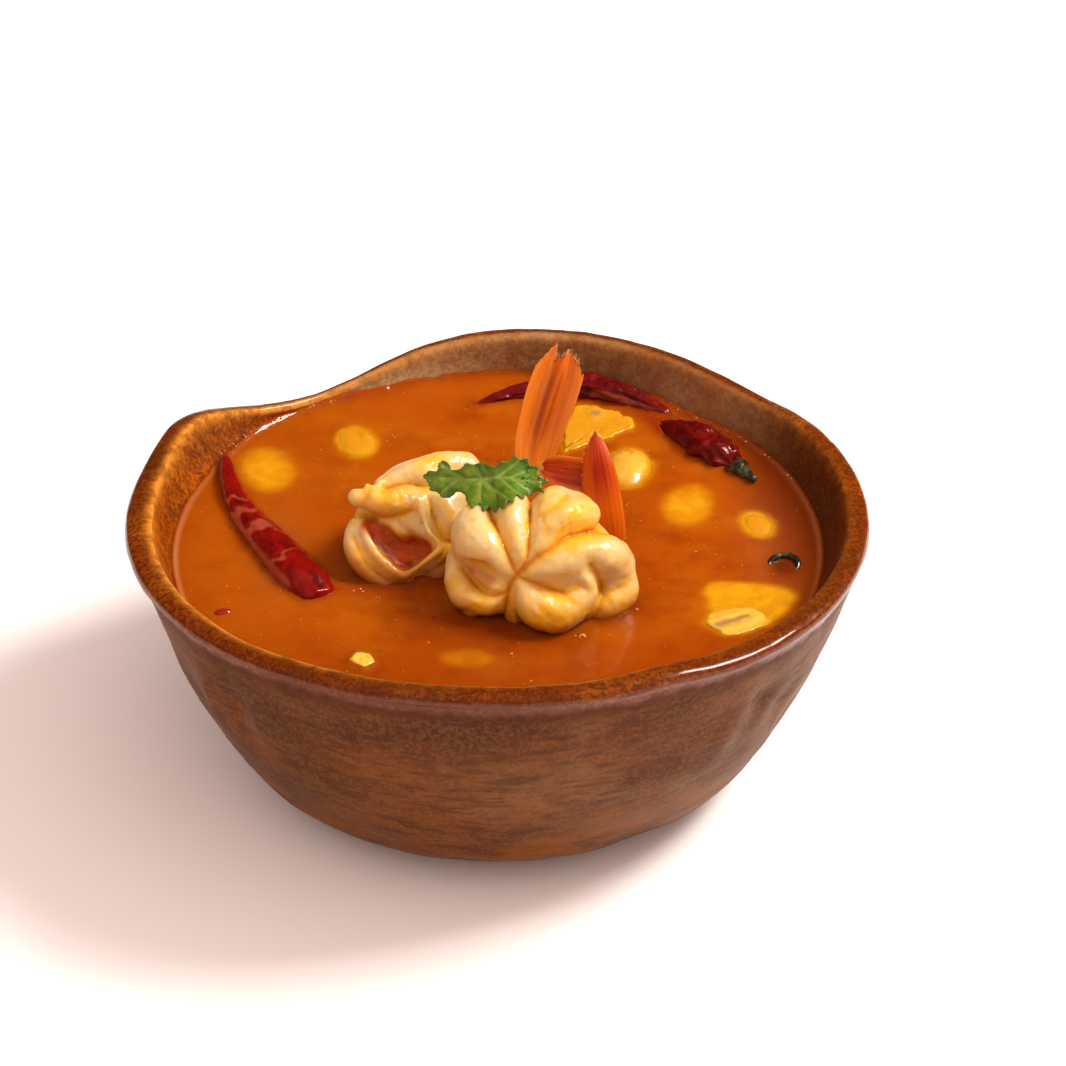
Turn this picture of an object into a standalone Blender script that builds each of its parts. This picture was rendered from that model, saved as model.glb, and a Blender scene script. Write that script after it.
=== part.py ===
"""Bowl of tom yum soup: a hand-built stoneware bowl filled with broth, two curled prawns with their tail
fans, a coriander leaf, dried red chillies, straw mushrooms and a chip of galangal.

Units are metres, +Z is up and the origin is the centre of the bowl's flat foot. The bowl is lofted in
rings round Z. Azimuths are in degrees, counter-clockwise from +X. Food is placed in millimetres.
"""

import math

import bmesh
import bpy
from mathutils import Matrix, Vector
from mathutils.bvhtree import BVHTree

MM = 0.001
GAP = 0.35

# Bowl.
DIVISIONS = 60
RIM_RADIUS = 78.6
RIM_OVAL = 1.2
RIM_HEIGHT = 58.4
LIP_WIDTH = 4.8
OUTER_WALL = ((0.0, 47.2), (3.0, 50.6), (8.0, 57.6), (16.0, 62.9), (28.0, 69.1), (42.0, 74.0), (55.0, 77.9))
OUTER_ROWS = 8
INNER_WALL = ((8.5, 36.0), (10.5, 45.0), (15.0, 52.5), (24.0, 59.8), (36.0, 65.4), (49.5, 69.7))
INNER_ROWS = 6
FLOOR_DIP = 1.0
FLARE_DEPTH = 1.3

# Hand-made unevenness of the rim: azimuth, half-width in degrees, outwards and upwards in mm.
RIM_WAVES = (
    (124.5, 20.5, -4.8, -6.6),
    (151, 10, 2.2, 1.6),
    (268, 62, -2.6, 5.0),
    (78, 16, 0.4, 0.6),
    (42, 13, -0.6, -1.6),
    (297, 9, 0.2, 1.2),
    (221, 8, -0.8, -1.0),
)
# The lip's own width and its roll over the outside, along the rim: azimuth, half-width, widening in mm.
LIP_WAVES = ((123, 20, -1.9), (180, 32, 0.9))
ROLL_CENTRE = 176
ROLL_SPREAD = 30
# The inside at the soup's level: azimuth, half-width, outwards in mm.
INSIDE_WAVES = ((80, 16, 2.0), (50, 12, -1.4), (112, 10, -0.9), (136, 11, 1.4))

# Soup.
SOUP_LEVEL = 49.5

# Prawns. Their shapes are given in a leaning frame: across, up the leaning face, and out of it.
LEAN = math.radians(34)
PRAWN_VOXEL = 3.0
PRAWN_RIGHT_PLACE = (9.0, -15.9, 55.2)
PRAWN_LEFT_PLACE = (-18.5, -2.9, 55.5)
# Each lobe of meat: centre (across, up, out), half-sizes (across, up, out) and turn about "out" in degrees.
PRAWN_RIGHT_LOBES = (
    ((1.0, 0.0, -3.0), (14.5, 11.5, 13.0), 0),
    ((-11.6, 5.0, 4.0), (7.0, 7.4, 7.4), -25),
    ((-13.4, -6.6, 2.6), (6.0, 5.4, 6.6), 35),
    ((-5.0, 7.8, 8.2), (3.5, 8.4, 5.4), 14),
    ((4.6, 10.6, 4.4), (8.6, 6.0, 7.6), -8),
    ((10.8, 1.2, 6.8), (8.6, 5.6, 7.2), 0),
    ((2.0, -8.4, 9.2), (8.8, 7.4, 6.6), 12),
    ((-5.6, -12.2, 5.6), (2.6, 5.6, 5.0), 34),
    ((13.6, -7.4, 1.2), (6.0, 4.4, 6.0), 12),
    ((3.0, 4.5, -11.5), (9.0, 7.0, 6.0), 20),
    ((8.5, -4.5, -10.5), (8.0, 6.5, 6.0), -10),
)
PRAWN_LEFT_LOBES = (
    ((-1.0, 1.0, -3.5), (11.0, 9.5, 9.5), 0),
    ((-10.2, 6.0, 5.0), (3.2, 3.1, 3.2), 0),
    ((-5.0, 6.6, 4.6), (6.2, 3.4, 4.2), 6),
    ((-2.6, 8.6, -0.6), (5.0, 3.0, 4.2), 16),
    ((5.8, 13.4, -2.6), (6.4, 3.2, 4.6), 22),
    ((-9.8, -3.2, 3.4), (3.8, 5.6, 4.8), 18),
    ((-4.6, -10.4, 4.6), (5.0, 3.4, 4.4), -28),
    ((4.2, -6.6, 6.0), (4.6, 6.2, 4.6), -30),
    ((4.6, 4.6, 6.0), (3.2, 7.0, 4.0), 28),
    ((9.0, 1.6, 3.4), (4.2, 6.0, 4.6), 0),
    ((-1.6, 0.8, 2.8), (3.4, 3.4, 3.2), 0),
    ((12.2, 12.8, -4.6), (5.6, 3.4, 4.2), -14),
    ((19.6, 9.8, -6.2), (5.6, 3.0, 3.6), -8),
    ((2.0, 4.0, -10.0), (8.0, 6.0, 5.0), 10),
)

# The mouth of the fold in the left prawn, as a scooped hollow: centre, half-sizes and turn.
PRAWN_LEFT_HOLLOW = ((-1.2, -1.6, 9.6), (4.2, 6.4, 5.2), 38)

# Tail fans: each blade's base, tip and widths from base to tip, its cupping and the depth of its notch.
TAIL_THICKNESS = 0.9
TAIL_THIN_EDGE = 0.45
TAIL_STEPS_ALONG = 8
TAIL_STEPS_ACROSS = 6
TAIL_LEFT_BASE = (7.2, 9.4, 62.6)
TAIL_LEFT_TIP = (13.6, 17.8, 88.6)
TAIL_LEFT_WIDTHS = (8.6, 11.2, 12.8, 13.0, 10.4)
TAIL_LEFT_CUP = 1.8
TAIL_LEFT_NOTCH = 4.2
TAIL_RIGHT_BASE = (25.0, -0.4, 47.2)
TAIL_RIGHT_TIP = (20.3, 4.2, 76.4)
TAIL_RIGHT_WIDTHS = (7.6, 9.2, 9.6, 7.4, 2.4)
TAIL_RIGHT_CUP = -1.2
TAIL_SIDE_BASE = (23.0, 2.2, 64.6)
TAIL_SIDE_TIP = (9.4, 4.4, 66.6)
TAIL_SIDE_WIDTHS = (6.0, 7.2, 7.4, 6.6, 3.4)
TAIL_SIDE_CUP = 1.0
TAIL_SIDE_NOTCH = 1.2

# Coriander leaf: tips and notches round its edge, (across, up) from its middle, in the leaning frame.
LEAF_PLACE = (-2.3, -8.5, 70.7)
LEAF_THICKNESS = 0.7
LEAF_CLEARANCE = 0.9
LEAF_EDGE = (
    (-13.4, 1.9), (-10.4, 3.0), (-9.8, 4.6), (-8.3, 4.9), (-7.2, 3.4), (-5.5, 3.4), (-2.6, 4.4), (2.1, 3.9),
    (4.2, 5.0), (6.0, 5.9), (8.5, 5.4), (9.0, 4.2), (10.6, 3.4), (11.2, 1.8), (13.0, 0.4), (11.0, -0.4),
    (12.0, -1.8), (9.6, -1.2), (8.3, -2.4), (6.0, -1.8), (5.2, -3.4), (3.8, -3.9), (2.3, -5.4), (0.8, -4.6),
    (-0.7, -5.4), (-1.9, -3.8), (-3.8, -4.4), (-4.6, -2.4), (-6.2, -1.6), (-9.4, -2.3), (-11.4, -0.9),
)
LEAF_RINGS = (0.38, 0.74, 1.0)
LEAF_DROOP = 0.4
LEAF_STEPS = 200

# Chillies: points of the middle line and the radius at each, in mm.
CHILLI_FLATTEN = 0.86
CHILLI_LEFT = (
    ((-60.8, 32.6, 51.8), 0.7), ((-58.8, 22.5, 50.6), 2.0), ((-55.6, 13.0, 49.7), 2.7),
    ((-50.6, 3.0, 49.3), 3.6), ((-45.4, -6.2, 49.1), 4.2), ((-41.0, -14.5, 48.9), 4.5),
    ((-38.2, -19.0, 48.8), 3.9),
)
CHILLI_REAR = (
    ((-5.0, 56.8, 49.7), 0.6), ((2.0, 60.2, 50.0), 2.0), ((10.0, 62.4, 50.5), 2.9),
    ((20.0, 62.6, 51.2), 3.3), ((28.5, 59.6, 50.9), 3.0), ((35.0, 55.9, 50.0), 2.2),
    ((40.0, 52.4, 49.4), 1.0),
)
CHILLI_RIGHT = (
    ((36.6, 49.8, 49.5), 0.8), ((39.6, 46.6, 49.6), 2.2), ((43.4, 42.2, 49.8), 4.0),
    ((47.4, 37.0, 50.0), 4.6), ((50.6, 32.8, 50.0), 4.0), ((52.2, 30.4, 49.9), 2.6),
)
CHILLI_CAP = (
    ((54.0, 28.0, 50.0), 2.1), ((54.9, 26.6, 50.2), 1.9), ((55.9, 25.0, 50.5), 1.1),
    ((56.6, 23.9, 50.8), 0.8),
)
CHILLI_RINGS = 12
CHILLI_SIDES = 8
CHILLI_WRINKLE = 0.09

# Mushrooms that break the surface: centre, half-sizes and turn about Z in degrees.
MUSHROOM_REAR_LEFT = ((-32.4, 42.6, 47.2), (5.2, 6.2, 4.2), 20)
MUSHROOM_REAR_RIGHT = ((29.4, 30.6, 47.2), (5.4, 6.4, 4.8), -10)
MUSHROOM_RIGHT = ((56.6, 8.0, 47.6), (3.3, 4.2, 3.2), 15)
# Flat slices: the outline (x, y) round each slice.
MUSHROOM_WEDGE = (
    (14.6, 37.0), (20.0, 40.2), (25.4, 43.6), (31.0, 51.6), (25.0, 54.6), (18.0, 55.4), (15.4, 46.0),
)
MUSHROOM_SLICE = (
    (43.0, -29.6), (44.6, -24.4), (44.2, -15.6), (52.0, -14.6), (61.4, -17.4), (62.0, -22.6),
    (56.0, -30.4), (48.0, -34.0),
)
GALANGAL = ((-30.3, -44.0), (-27.4, -45.0), (-25.6, -43.2), (-26.4, -40.6), (-29.0, -40.2))
SLICE_RISE = 0.6
SLICE_THICKNESS = 3.0
SLICE_POINTS = 16


def clear_scene():
    for old in list(bpy.data.objects):
        bpy.data.objects.remove(old)


def make_material(name, colour, roughness):
    material = bpy.data.materials.new(name)
    material.use_nodes = True
    shader = material.node_tree.nodes["Principled BSDF"]
    shader.inputs["Base Color"].default_value = (*colour, 1)
    shader.inputs["Roughness"].default_value = roughness
    shader.inputs["Metallic"].default_value = 0
    material.diffuse_color = (*colour, 1)
    return material


def add_object(name, shape, material, smooth=True):
    """Turn a bmesh given in millimetres into an object in metres."""
    bmesh.ops.scale(shape, vec=(MM, MM, MM), verts=shape.verts)
    bmesh.ops.recalc_face_normals(shape, faces=shape.faces)
    mesh = bpy.data.meshes.new(name)
    shape.to_mesh(mesh)
    shape.free()
    if smooth:
        mesh.shade_smooth()
    mesh.materials.append(material)
    piece = bpy.data.objects.new(name, mesh)
    bpy.context.collection.objects.link(piece)
    return piece


def hide_as_cutter(piece):
    piece.hide_render = True
    piece.display_type = "WIRE"
    return piece


def cut_away(piece, cutter):
    boolean = piece.modifiers.new("cut " + cutter.name, "BOOLEAN")
    boolean.operation = "DIFFERENCE"
    boolean.solver = "EXACT"
    boolean.object = cutter


def bell(angle, centre, half_width):
    """A smooth bump that is 1 at its centre azimuth and fades over half_width degrees."""
    turn = (angle - centre + 180) % 360 - 180
    return math.exp(-((turn / half_width) ** 2))


def smooth_value(points, x):
    """Catmull-Rom value at x through a short list of (x, value) points."""
    last = len(points) - 2
    k = next((i for i in range(last + 1) if x <= points[i + 1][0]), last)
    (x1, y1), (x2, y2) = points[k], points[k + 1]
    x0, y0 = points[max(k - 1, 0)]
    x3, y3 = points[min(k + 2, last + 1)]
    slope1 = (y2 - y0) / (x2 - x0)
    slope2 = (y3 - y1) / (x3 - x1)
    span = x2 - x1
    t = (x - x1) / span
    a = (2 * t**3 - 3 * t**2 + 1) * y1 + (t**3 - 2 * t**2 + t) * span * slope1
    b = (3 * t**2 - 2 * t**3) * y2 + (t**3 - t**2) * span * slope2
    return a + b


def smooth_path(points, count):
    """Points spaced evenly in parameter along a Catmull-Rom curve through the given tuples."""
    last = len(points) - 1
    axes = range(len(points[0]))
    tracks = [[(k, point[axis]) for k, point in enumerate(points)] for axis in axes]
    return [[smooth_value(track, last * i / (count - 1)) for track in tracks] for i in range(count)]


def bridge_rings(shape, rings):
    """Quads between each ring of vertices and the next, all rings closed and of one length."""
    for lower, upper in zip(rings, rings[1:]):
        count = len(lower)
        for k in range(count):
            following = (k + 1) % count
            shape.faces.new((lower[k], lower[following], upper[following], upper[k]))


def close_ring(shape, ring, centre):
    tip = shape.verts.new(centre)
    count = len(ring)
    for k in range(count):
        shape.faces.new((ring[k], ring[(k + 1) % count], tip))


# Bowl ------------------------------------------------------------------------------------------------------


def rim_radius(angle):
    waves = sum(out * bell(angle, centre, width) for centre, width, out, up in RIM_WAVES)
    return RIM_RADIUS + RIM_OVAL * math.cos(math.radians(2 * angle)) + waves


def rim_height(angle):
    return RIM_HEIGHT + sum(up * bell(angle, centre, width) for centre, width, out, up in RIM_WAVES)


def lip_width(angle):
    return LIP_WIDTH + sum(wider * bell(angle, centre, width) for centre, width, wider in LIP_WAVES)


def inside_radius(angle):
    waves = sum(out * bell(angle, centre, width) for centre, width, out in INSIDE_WAVES)
    return INNER_WALL[-1][1] + waves


def outer_point(angle, share):
    """A point (radius, height) on the outside; share runs from 0 at the foot to 1 under the lip."""
    top = OUTER_WALL[-1][0]
    roll = FLARE_DEPTH * bell(angle, ROLL_CENTRE, ROLL_SPREAD)
    shift = rim_radius(angle) - 0.7 - roll - OUTER_WALL[-1][1]
    radius = smooth_value(OUTER_WALL, share * top) + shift * share**2.6
    return radius, share * (rim_height(angle) - 3.4)


def inner_point(angle, height):
    """Radius of the inside at a height no higher than the soup's level."""
    foot = INNER_WALL[0][0]
    share = (height - foot) / (INNER_WALL[-1][0] - foot)
    shift = inside_radius(angle) - INNER_WALL[-1][1]
    return smooth_value(INNER_WALL, height) + shift * share**2


def lip_points(angle):
    """The lip's section, from under the outside, over the crest and down the inside."""
    radius, height, width = rim_radius(angle), rim_height(angle), lip_width(angle)
    inside = inside_radius(angle)
    middle = (radius - width - 0.5 + inside + 0.8) / 2
    return (
        (radius - 0.1, height - 2.4),
        (radius, height - 1.2),
        (radius - 0.7, height - 0.3),
        (radius - 0.5 * width, height + 0.1),
        (radius - 0.85 * width, height),
        (radius - width - 0.3, height - 1.2),
        (middle, (height + SOUP_LEVEL) / 2 - 0.4),
    )


def around(point_at):
    """One ring of (x, y, z) in mm from a function of azimuth that gives (radius, height)."""
    ring = []
    for k in range(DIVISIONS):
        angle = 360 * k / DIVISIONS
        radius, height = point_at(angle)
        turn = math.radians(angle)
        ring.append((radius * math.cos(turn), radius * math.sin(turn), height))
    return ring


def make_bowl(material):
    rows = [around(lambda angle: (OUTER_WALL[0][1] - 1.6, 0.0))]
    for i in range(OUTER_ROWS):
        share = (i / (OUTER_ROWS - 1)) ** 1.25
        lift = 0.5 if i == 0 else 0.0
        rows.append(around(lambda angle: Vector(outer_point(angle, share)) + Vector((0, lift))))
    for i in range(len(lip_points(0))):
        rows.append(around(lambda angle: lip_points(angle)[i]))
    foot = INNER_WALL[0][0]
    for i in range(INNER_ROWS):
        height = SOUP_LEVEL + (foot - SOUP_LEVEL) * (i / (INNER_ROWS - 1)) ** 0.7
        rows.append(around(lambda angle: (inner_point(angle, height), height)))
    shape = bmesh.new()
    rings = [[shape.verts.new(point) for point in row] for row in rows]
    bridge_rings(shape, rings)
    close_ring(shape, rings[0], (0, 0, 0))
    close_ring(shape, rings[-1], (0, 0, foot - FLOOR_DIP))
    return add_object("bowl", shape, material)


# Soup ------------------------------------------------------------------------------------------------------


def make_soup(material):
    foot = INNER_WALL[0][0]
    rows = []
    for i in range(INNER_ROWS):
        height = SOUP_LEVEL + (foot - SOUP_LEVEL) * (i / (INNER_ROWS - 1)) ** 0.7
        lift = GAP if i == INNER_ROWS - 1 else 0.0
        inset = GAP + 0.15 * lift / GAP
        rows.append(around(lambda angle: (inner_point(angle, height) - inset, height + lift)))
    shape = bmesh.new()
    rings = [[shape.verts.new(point) for point in row] for row in rows]
    bridge_rings(shape, rings)
    close_ring(shape, rings[0], (0, 0, SOUP_LEVEL))
    close_ring(shape, rings[-1], (0, 0, foot - FLOOR_DIP + GAP))
    return add_object("soup", shape, material, smooth=False)


# Prawns ----------------------------------------------------------------------------------------------------


def leaning(place, across, up, out):
    """A point given in the frame that leans back by LEAN, whose origin is at place."""
    x, y, z = place
    return Vector((
        x + across,
        y + up * math.sin(LEAN) - out * math.cos(LEAN),
        z + up * math.cos(LEAN) + out * math.sin(LEAN),
    ))


def add_lobe(shape, place, lobe, subdivisions=3):
    """An ellipsoid placed and turned in the leaning frame."""
    (across, up, out), sizes, turn = lobe
    spot = Matrix.Translation(leaning(place, across, up, out))
    lean = Matrix.Rotation(math.pi / 2 - LEAN, 4, "X")
    spin = Matrix.Rotation(math.radians(turn), 4, "Z")
    stretch = Matrix.Diagonal((*sizes, 1))
    bmesh.ops.create_icosphere(
        shape, subdivisions=subdivisions, radius=1, matrix=spot @ lean @ spin @ stretch
    )


def make_prawn(name, place, lobes, material):
    """Lobes of meat pressed together: overlapping ellipsoids, skinned as one body."""
    shape = bmesh.new()
    for lobe in lobes:
        add_lobe(shape, place, lobe)
    prawn = add_object(name, shape, material)
    skin = prawn.modifiers.new("skin", "REMESH")
    skin.mode = "VOXEL"
    skin.voxel_size = PRAWN_VOXEL * MM
    skin.use_smooth_shade = True
    return prawn


def make_hollow(material):
    shape = bmesh.new()
    add_lobe(shape, PRAWN_LEFT_PLACE, PRAWN_LEFT_HOLLOW, subdivisions=2)
    return hide_as_cutter(add_object("prawn_left_hollow", shape, material))


def swollen_copy(piece, name, growth):
    """A hidden copy with the same modifiers, pushed out along its normals."""
    copy = piece.copy()
    copy.data = piece.data.copy()
    copy.name = name
    bpy.context.collection.objects.link(copy)
    swell = copy.modifiers.new("swell", "DISPLACE")
    swell.direction = "NORMAL"
    swell.mid_level = 0
    swell.strength = growth * MM
    return hide_as_cutter(copy)


# Tail fans -------------------------------------------------------------------------------------------------


def blade_shape(base, tip, widths, side, cup, growth=0.0, notch=0.0):
    """One thin cupped blade from base to tip. side is the direction of its width."""
    start, end = Vector(base), Vector(tip)
    along = (end - start).normalized()
    side = (Vector(side) - Vector(side).dot(along) * along).normalized()
    face = along.cross(side)
    thickness = TAIL_THICKNESS / 2 + growth
    width_points = tuple((k / (len(widths) - 1), width) for k, width in enumerate(widths))
    shape = bmesh.new()
    rings = []
    for i in range(TAIL_STEPS_ALONG):
        share = i / (TAIL_STEPS_ALONG - 1)
        spot = start.lerp(end, share)
        half = smooth_value(width_points, share) / 2 + growth
        ring = []
        for facing in (1, -1):
            for j in range(TAIL_STEPS_ACROSS):
                offset = facing * (1 - 2 * j / (TAIL_STEPS_ACROSS - 1))
                dip = cup * (1 - offset**2)
                split = 1 - min(abs(offset + 0.1) * 2.2, 1)
                short = notch * share**4 * (split + 0.7 * offset**2)
                edge = thickness * (TAIL_THIN_EDGE if abs(offset) > 0.99 else 1)
                bulge = dip * share * (1 - 0.4 * share)
                point = spot + side * half * offset + face * (bulge + facing * edge)
                ring.append(shape.verts.new(point - along * short))
        rings.append(ring)
    bridge_rings(shape, rings)
    for ring in (rings[0], rings[-1]):
        half_count = len(ring) // 2
        for k in range(half_count - 1):
            shape.faces.new((ring[k], ring[k + 1], ring[-2 - k], ring[-1 - k]))
    return shape


def make_tail_left(name, material, growth=0.0):
    shape = blade_shape(
        TAIL_LEFT_BASE, TAIL_LEFT_TIP, TAIL_LEFT_WIDTHS, (1, 0.2, 0), TAIL_LEFT_CUP, growth, TAIL_LEFT_NOTCH
    )
    return add_object(name, shape, material)


def make_tail_right(name, material, growth=0.0):
    upright = blade_shape(
        TAIL_RIGHT_BASE, TAIL_RIGHT_TIP, TAIL_RIGHT_WIDTHS, (1, 0.35, 0), TAIL_RIGHT_CUP, growth
    )
    tail = add_object(name, upright, material)
    lying = blade_shape(
        TAIL_SIDE_BASE, TAIL_SIDE_TIP, TAIL_SIDE_WIDTHS, (0, 0.5, 1), TAIL_SIDE_CUP, growth, TAIL_SIDE_NOTCH
    )
    side = hide_as_cutter(add_object(name + "_side", lying, material))
    joined = tail.modifiers.new("join", "BOOLEAN")
    joined.operation = "UNION"
    joined.solver = "EXACT"
    joined.object = side
    return tail


# Coriander leaf --------------------------------------------------------------------------------------------


def height_over(trees, across, up):
    """How far out of the leaning face the food below reaches at (across, up) of the leaf's frame."""
    source = leaning(LEAF_PLACE, across, up, 60) * MM
    aim = leaning((0, 0, 0), 0, 0, -1).normalized()
    hits = [tree.ray_cast(source, aim) for tree in trees]
    reached = [60 - distance / MM for place, normal, index, distance in hits if place is not None]
    return max(reached, default=-30)


def make_leaf(material, supports):
    """A lobed leaf draped over what lies under it, as a thin sheet that rests where it must."""
    graph = bpy.context.evaluated_depsgraph_get()
    trees = [BVHTree.FromObject(support, graph) for support in supports]
    flat = [(0.0, 0.0)] + [(a * ring, u * ring) for ring in LEAF_RINGS for a, u in LEAF_EDGE]
    count = len(LEAF_EDGE)
    clearance = LEAF_THICKNESS / 2 + LEAF_CLEARANCE
    floor = [height_over(trees, a, u) + clearance for a, u in flat]
    for reach in (0.9, 1.8):
        for da, du in ((reach, 0), (-reach, 0), (0, reach), (0, -reach)):
            beside = [height_over(trees, a + da, u + du) + clearance for a, u in flat]
            floor = [max(pair) for pair in zip(floor, beside)]
    neighbours = [[1 + k for k in range(count)]]
    for ring in range(len(LEAF_RINGS)):
        for k in range(count):
            here = 1 + ring * count
            beside = [here + (k + 1) % count, here + (k - 1) % count]
            beside.append(here - count + k if ring else 0)
            if ring < len(LEAF_RINGS) - 1:
                beside.append(here + count + k)
            neighbours.append(beside)
    top = max(floor)
    heights = [top] * len(flat)
    for _ in range(LEAF_STEPS):
        settled = [sum(heights[n] for n in beside) / len(beside) - LEAF_DROOP for beside in neighbours]
        heights = [max(low, calm) for low, calm in zip(floor, settled)]
    shape = bmesh.new()
    skins = []
    for side in (0.5, -0.5):
        verts = []
        for k, ((a, u), out) in enumerate(zip(flat, heights)):
            thin = 0.6 if k > 2 * count else 1.0
            verts.append(shape.verts.new(leaning(LEAF_PLACE, a, u, out + side * thin * LEAF_THICKNESS)))
        skins.append(verts)
    for verts in skins:
        rings = [verts[1 + r * count : 1 + (r + 1) * count] for r in range(len(LEAF_RINGS))]
        for k in range(count):
            shape.faces.new((verts[0], rings[0][k], rings[0][(k + 1) % count]))
        bridge_rings(shape, rings)
    bridge_rings(shape, [skins[0][-count:], skins[1][-count:]])
    return add_object("coriander_leaf", shape, material)


# Chillies --------------------------------------------------------------------------------------------------


def make_chilli(name, route, material, growth=0.0):
    """A dried pod: a tapered tube along a smooth line, a little flat, with lengthwise creases."""
    rings = min(CHILLI_RINGS, 2 * len(route))
    middle = smooth_path([(*point, radius) for point, radius in route], rings)
    shape = bmesh.new()
    loops = []
    for i, (x, y, z, radius) in enumerate(middle):
        before, after = Vector(middle[max(i - 1, 0)][:3]), Vector(middle[min(i + 1, rings - 1)][:3])
        along = (after - before).normalized()
        side = along.cross(Vector((0, 0, 1))).normalized()
        over = side.cross(along)
        loop = []
        for k in range(CHILLI_SIDES):
            turn = 2 * math.pi * k / CHILLI_SIDES
            crease = 1 + CHILLI_WRINKLE * math.sin(3 * turn + 0.9 * i) * math.sin(1.7 * i + 0.6)
            reach = max(radius, 0.3) * crease + growth
            flat = CHILLI_FLATTEN if growth == 0 else 1
            offset = side * math.cos(turn) * reach + over * math.sin(turn) * reach * flat
            loop.append(shape.verts.new(Vector((x, y, z)) + offset))
        loops.append(loop)
    bridge_rings(shape, loops)
    first, second = Vector(middle[0][:3]), Vector(middle[1][:3])
    last, previous = Vector(middle[-1][:3]), Vector(middle[-2][:3])
    close_ring(shape, loops[0], first + (first - second).normalized() * (0.5 * middle[0][3] + growth))
    close_ring(shape, loops[-1], last + (last - previous).normalized() * (0.35 * middle[-1][3] + growth))
    return add_object(name, shape, material)


# Mushrooms and chips ---------------------------------------------------------------------------------------


def make_cap(name, cap, material, growth=0.0):
    """A round straw mushroom cap, pinched in a little on one side."""
    segments, rings = (12, 7) if growth == 0 else (8, 5)
    place, sizes, turn = cap
    stretch = Matrix.Diagonal((*(size + 1.9 * growth for size in sizes), 1))
    spin = Matrix.Rotation(math.radians(turn), 4, "Z")
    shape = bmesh.new()
    bmesh.ops.create_uvsphere(shape, u_segments=segments, v_segments=rings, radius=1)
    for vert in shape.verts:
        pinch = 0.1 * max(0.0, vert.co.x) ** 2
        vert.co.y *= 1 - pinch
        vert.co.z *= 1 - 0.5 * pinch
    bmesh.ops.transform(shape, matrix=Matrix.Translation(place) @ spin @ stretch, verts=shape.verts)
    return add_object(name, shape, material)


def make_slice(name, outline, material, growth=0.0):
    """A flat slice with a rounded edge, lying level in the soup."""
    closed = [*outline, outline[0]]
    rim = smooth_path(closed, SLICE_POINTS + 1)[:-1]
    middle = Vector((sum(x for x, y in rim) / SLICE_POINTS, sum(y for x, y in rim) / SLICE_POINTS))
    top = SOUP_LEVEL + SLICE_RISE + growth
    bottom = SOUP_LEVEL + SLICE_RISE - SLICE_THICKNESS - growth
    steps = ((0.78, bottom), (0.96, bottom + 0.7), (1.0, (top + bottom) / 2), (0.97, top - 0.5), (0.84, top))
    shape = bmesh.new()
    rings = []
    for share, height in steps:
        ring = []
        for point in rim:
            reach = Vector(point) - middle
            spot = middle + reach * share + reach.normalized() * growth
            ring.append(shape.verts.new((spot.x, spot.y, height)))
        rings.append(ring)
    bridge_rings(shape, rings)
    close_ring(shape, rings[0], (middle.x, middle.y, bottom))
    close_ring(shape, rings[-1], (middle.x, middle.y, top + 0.1))
    return add_object(name, shape, material)


def cut_from_soup(soup, maker, name, *details):
    """Cut the soup round a piece, with a slightly larger copy of that piece."""
    cutter = hide_as_cutter(maker(name + "_cutter", *details, growth=GAP + 0.1))
    cut_away(soup, cutter)


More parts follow.
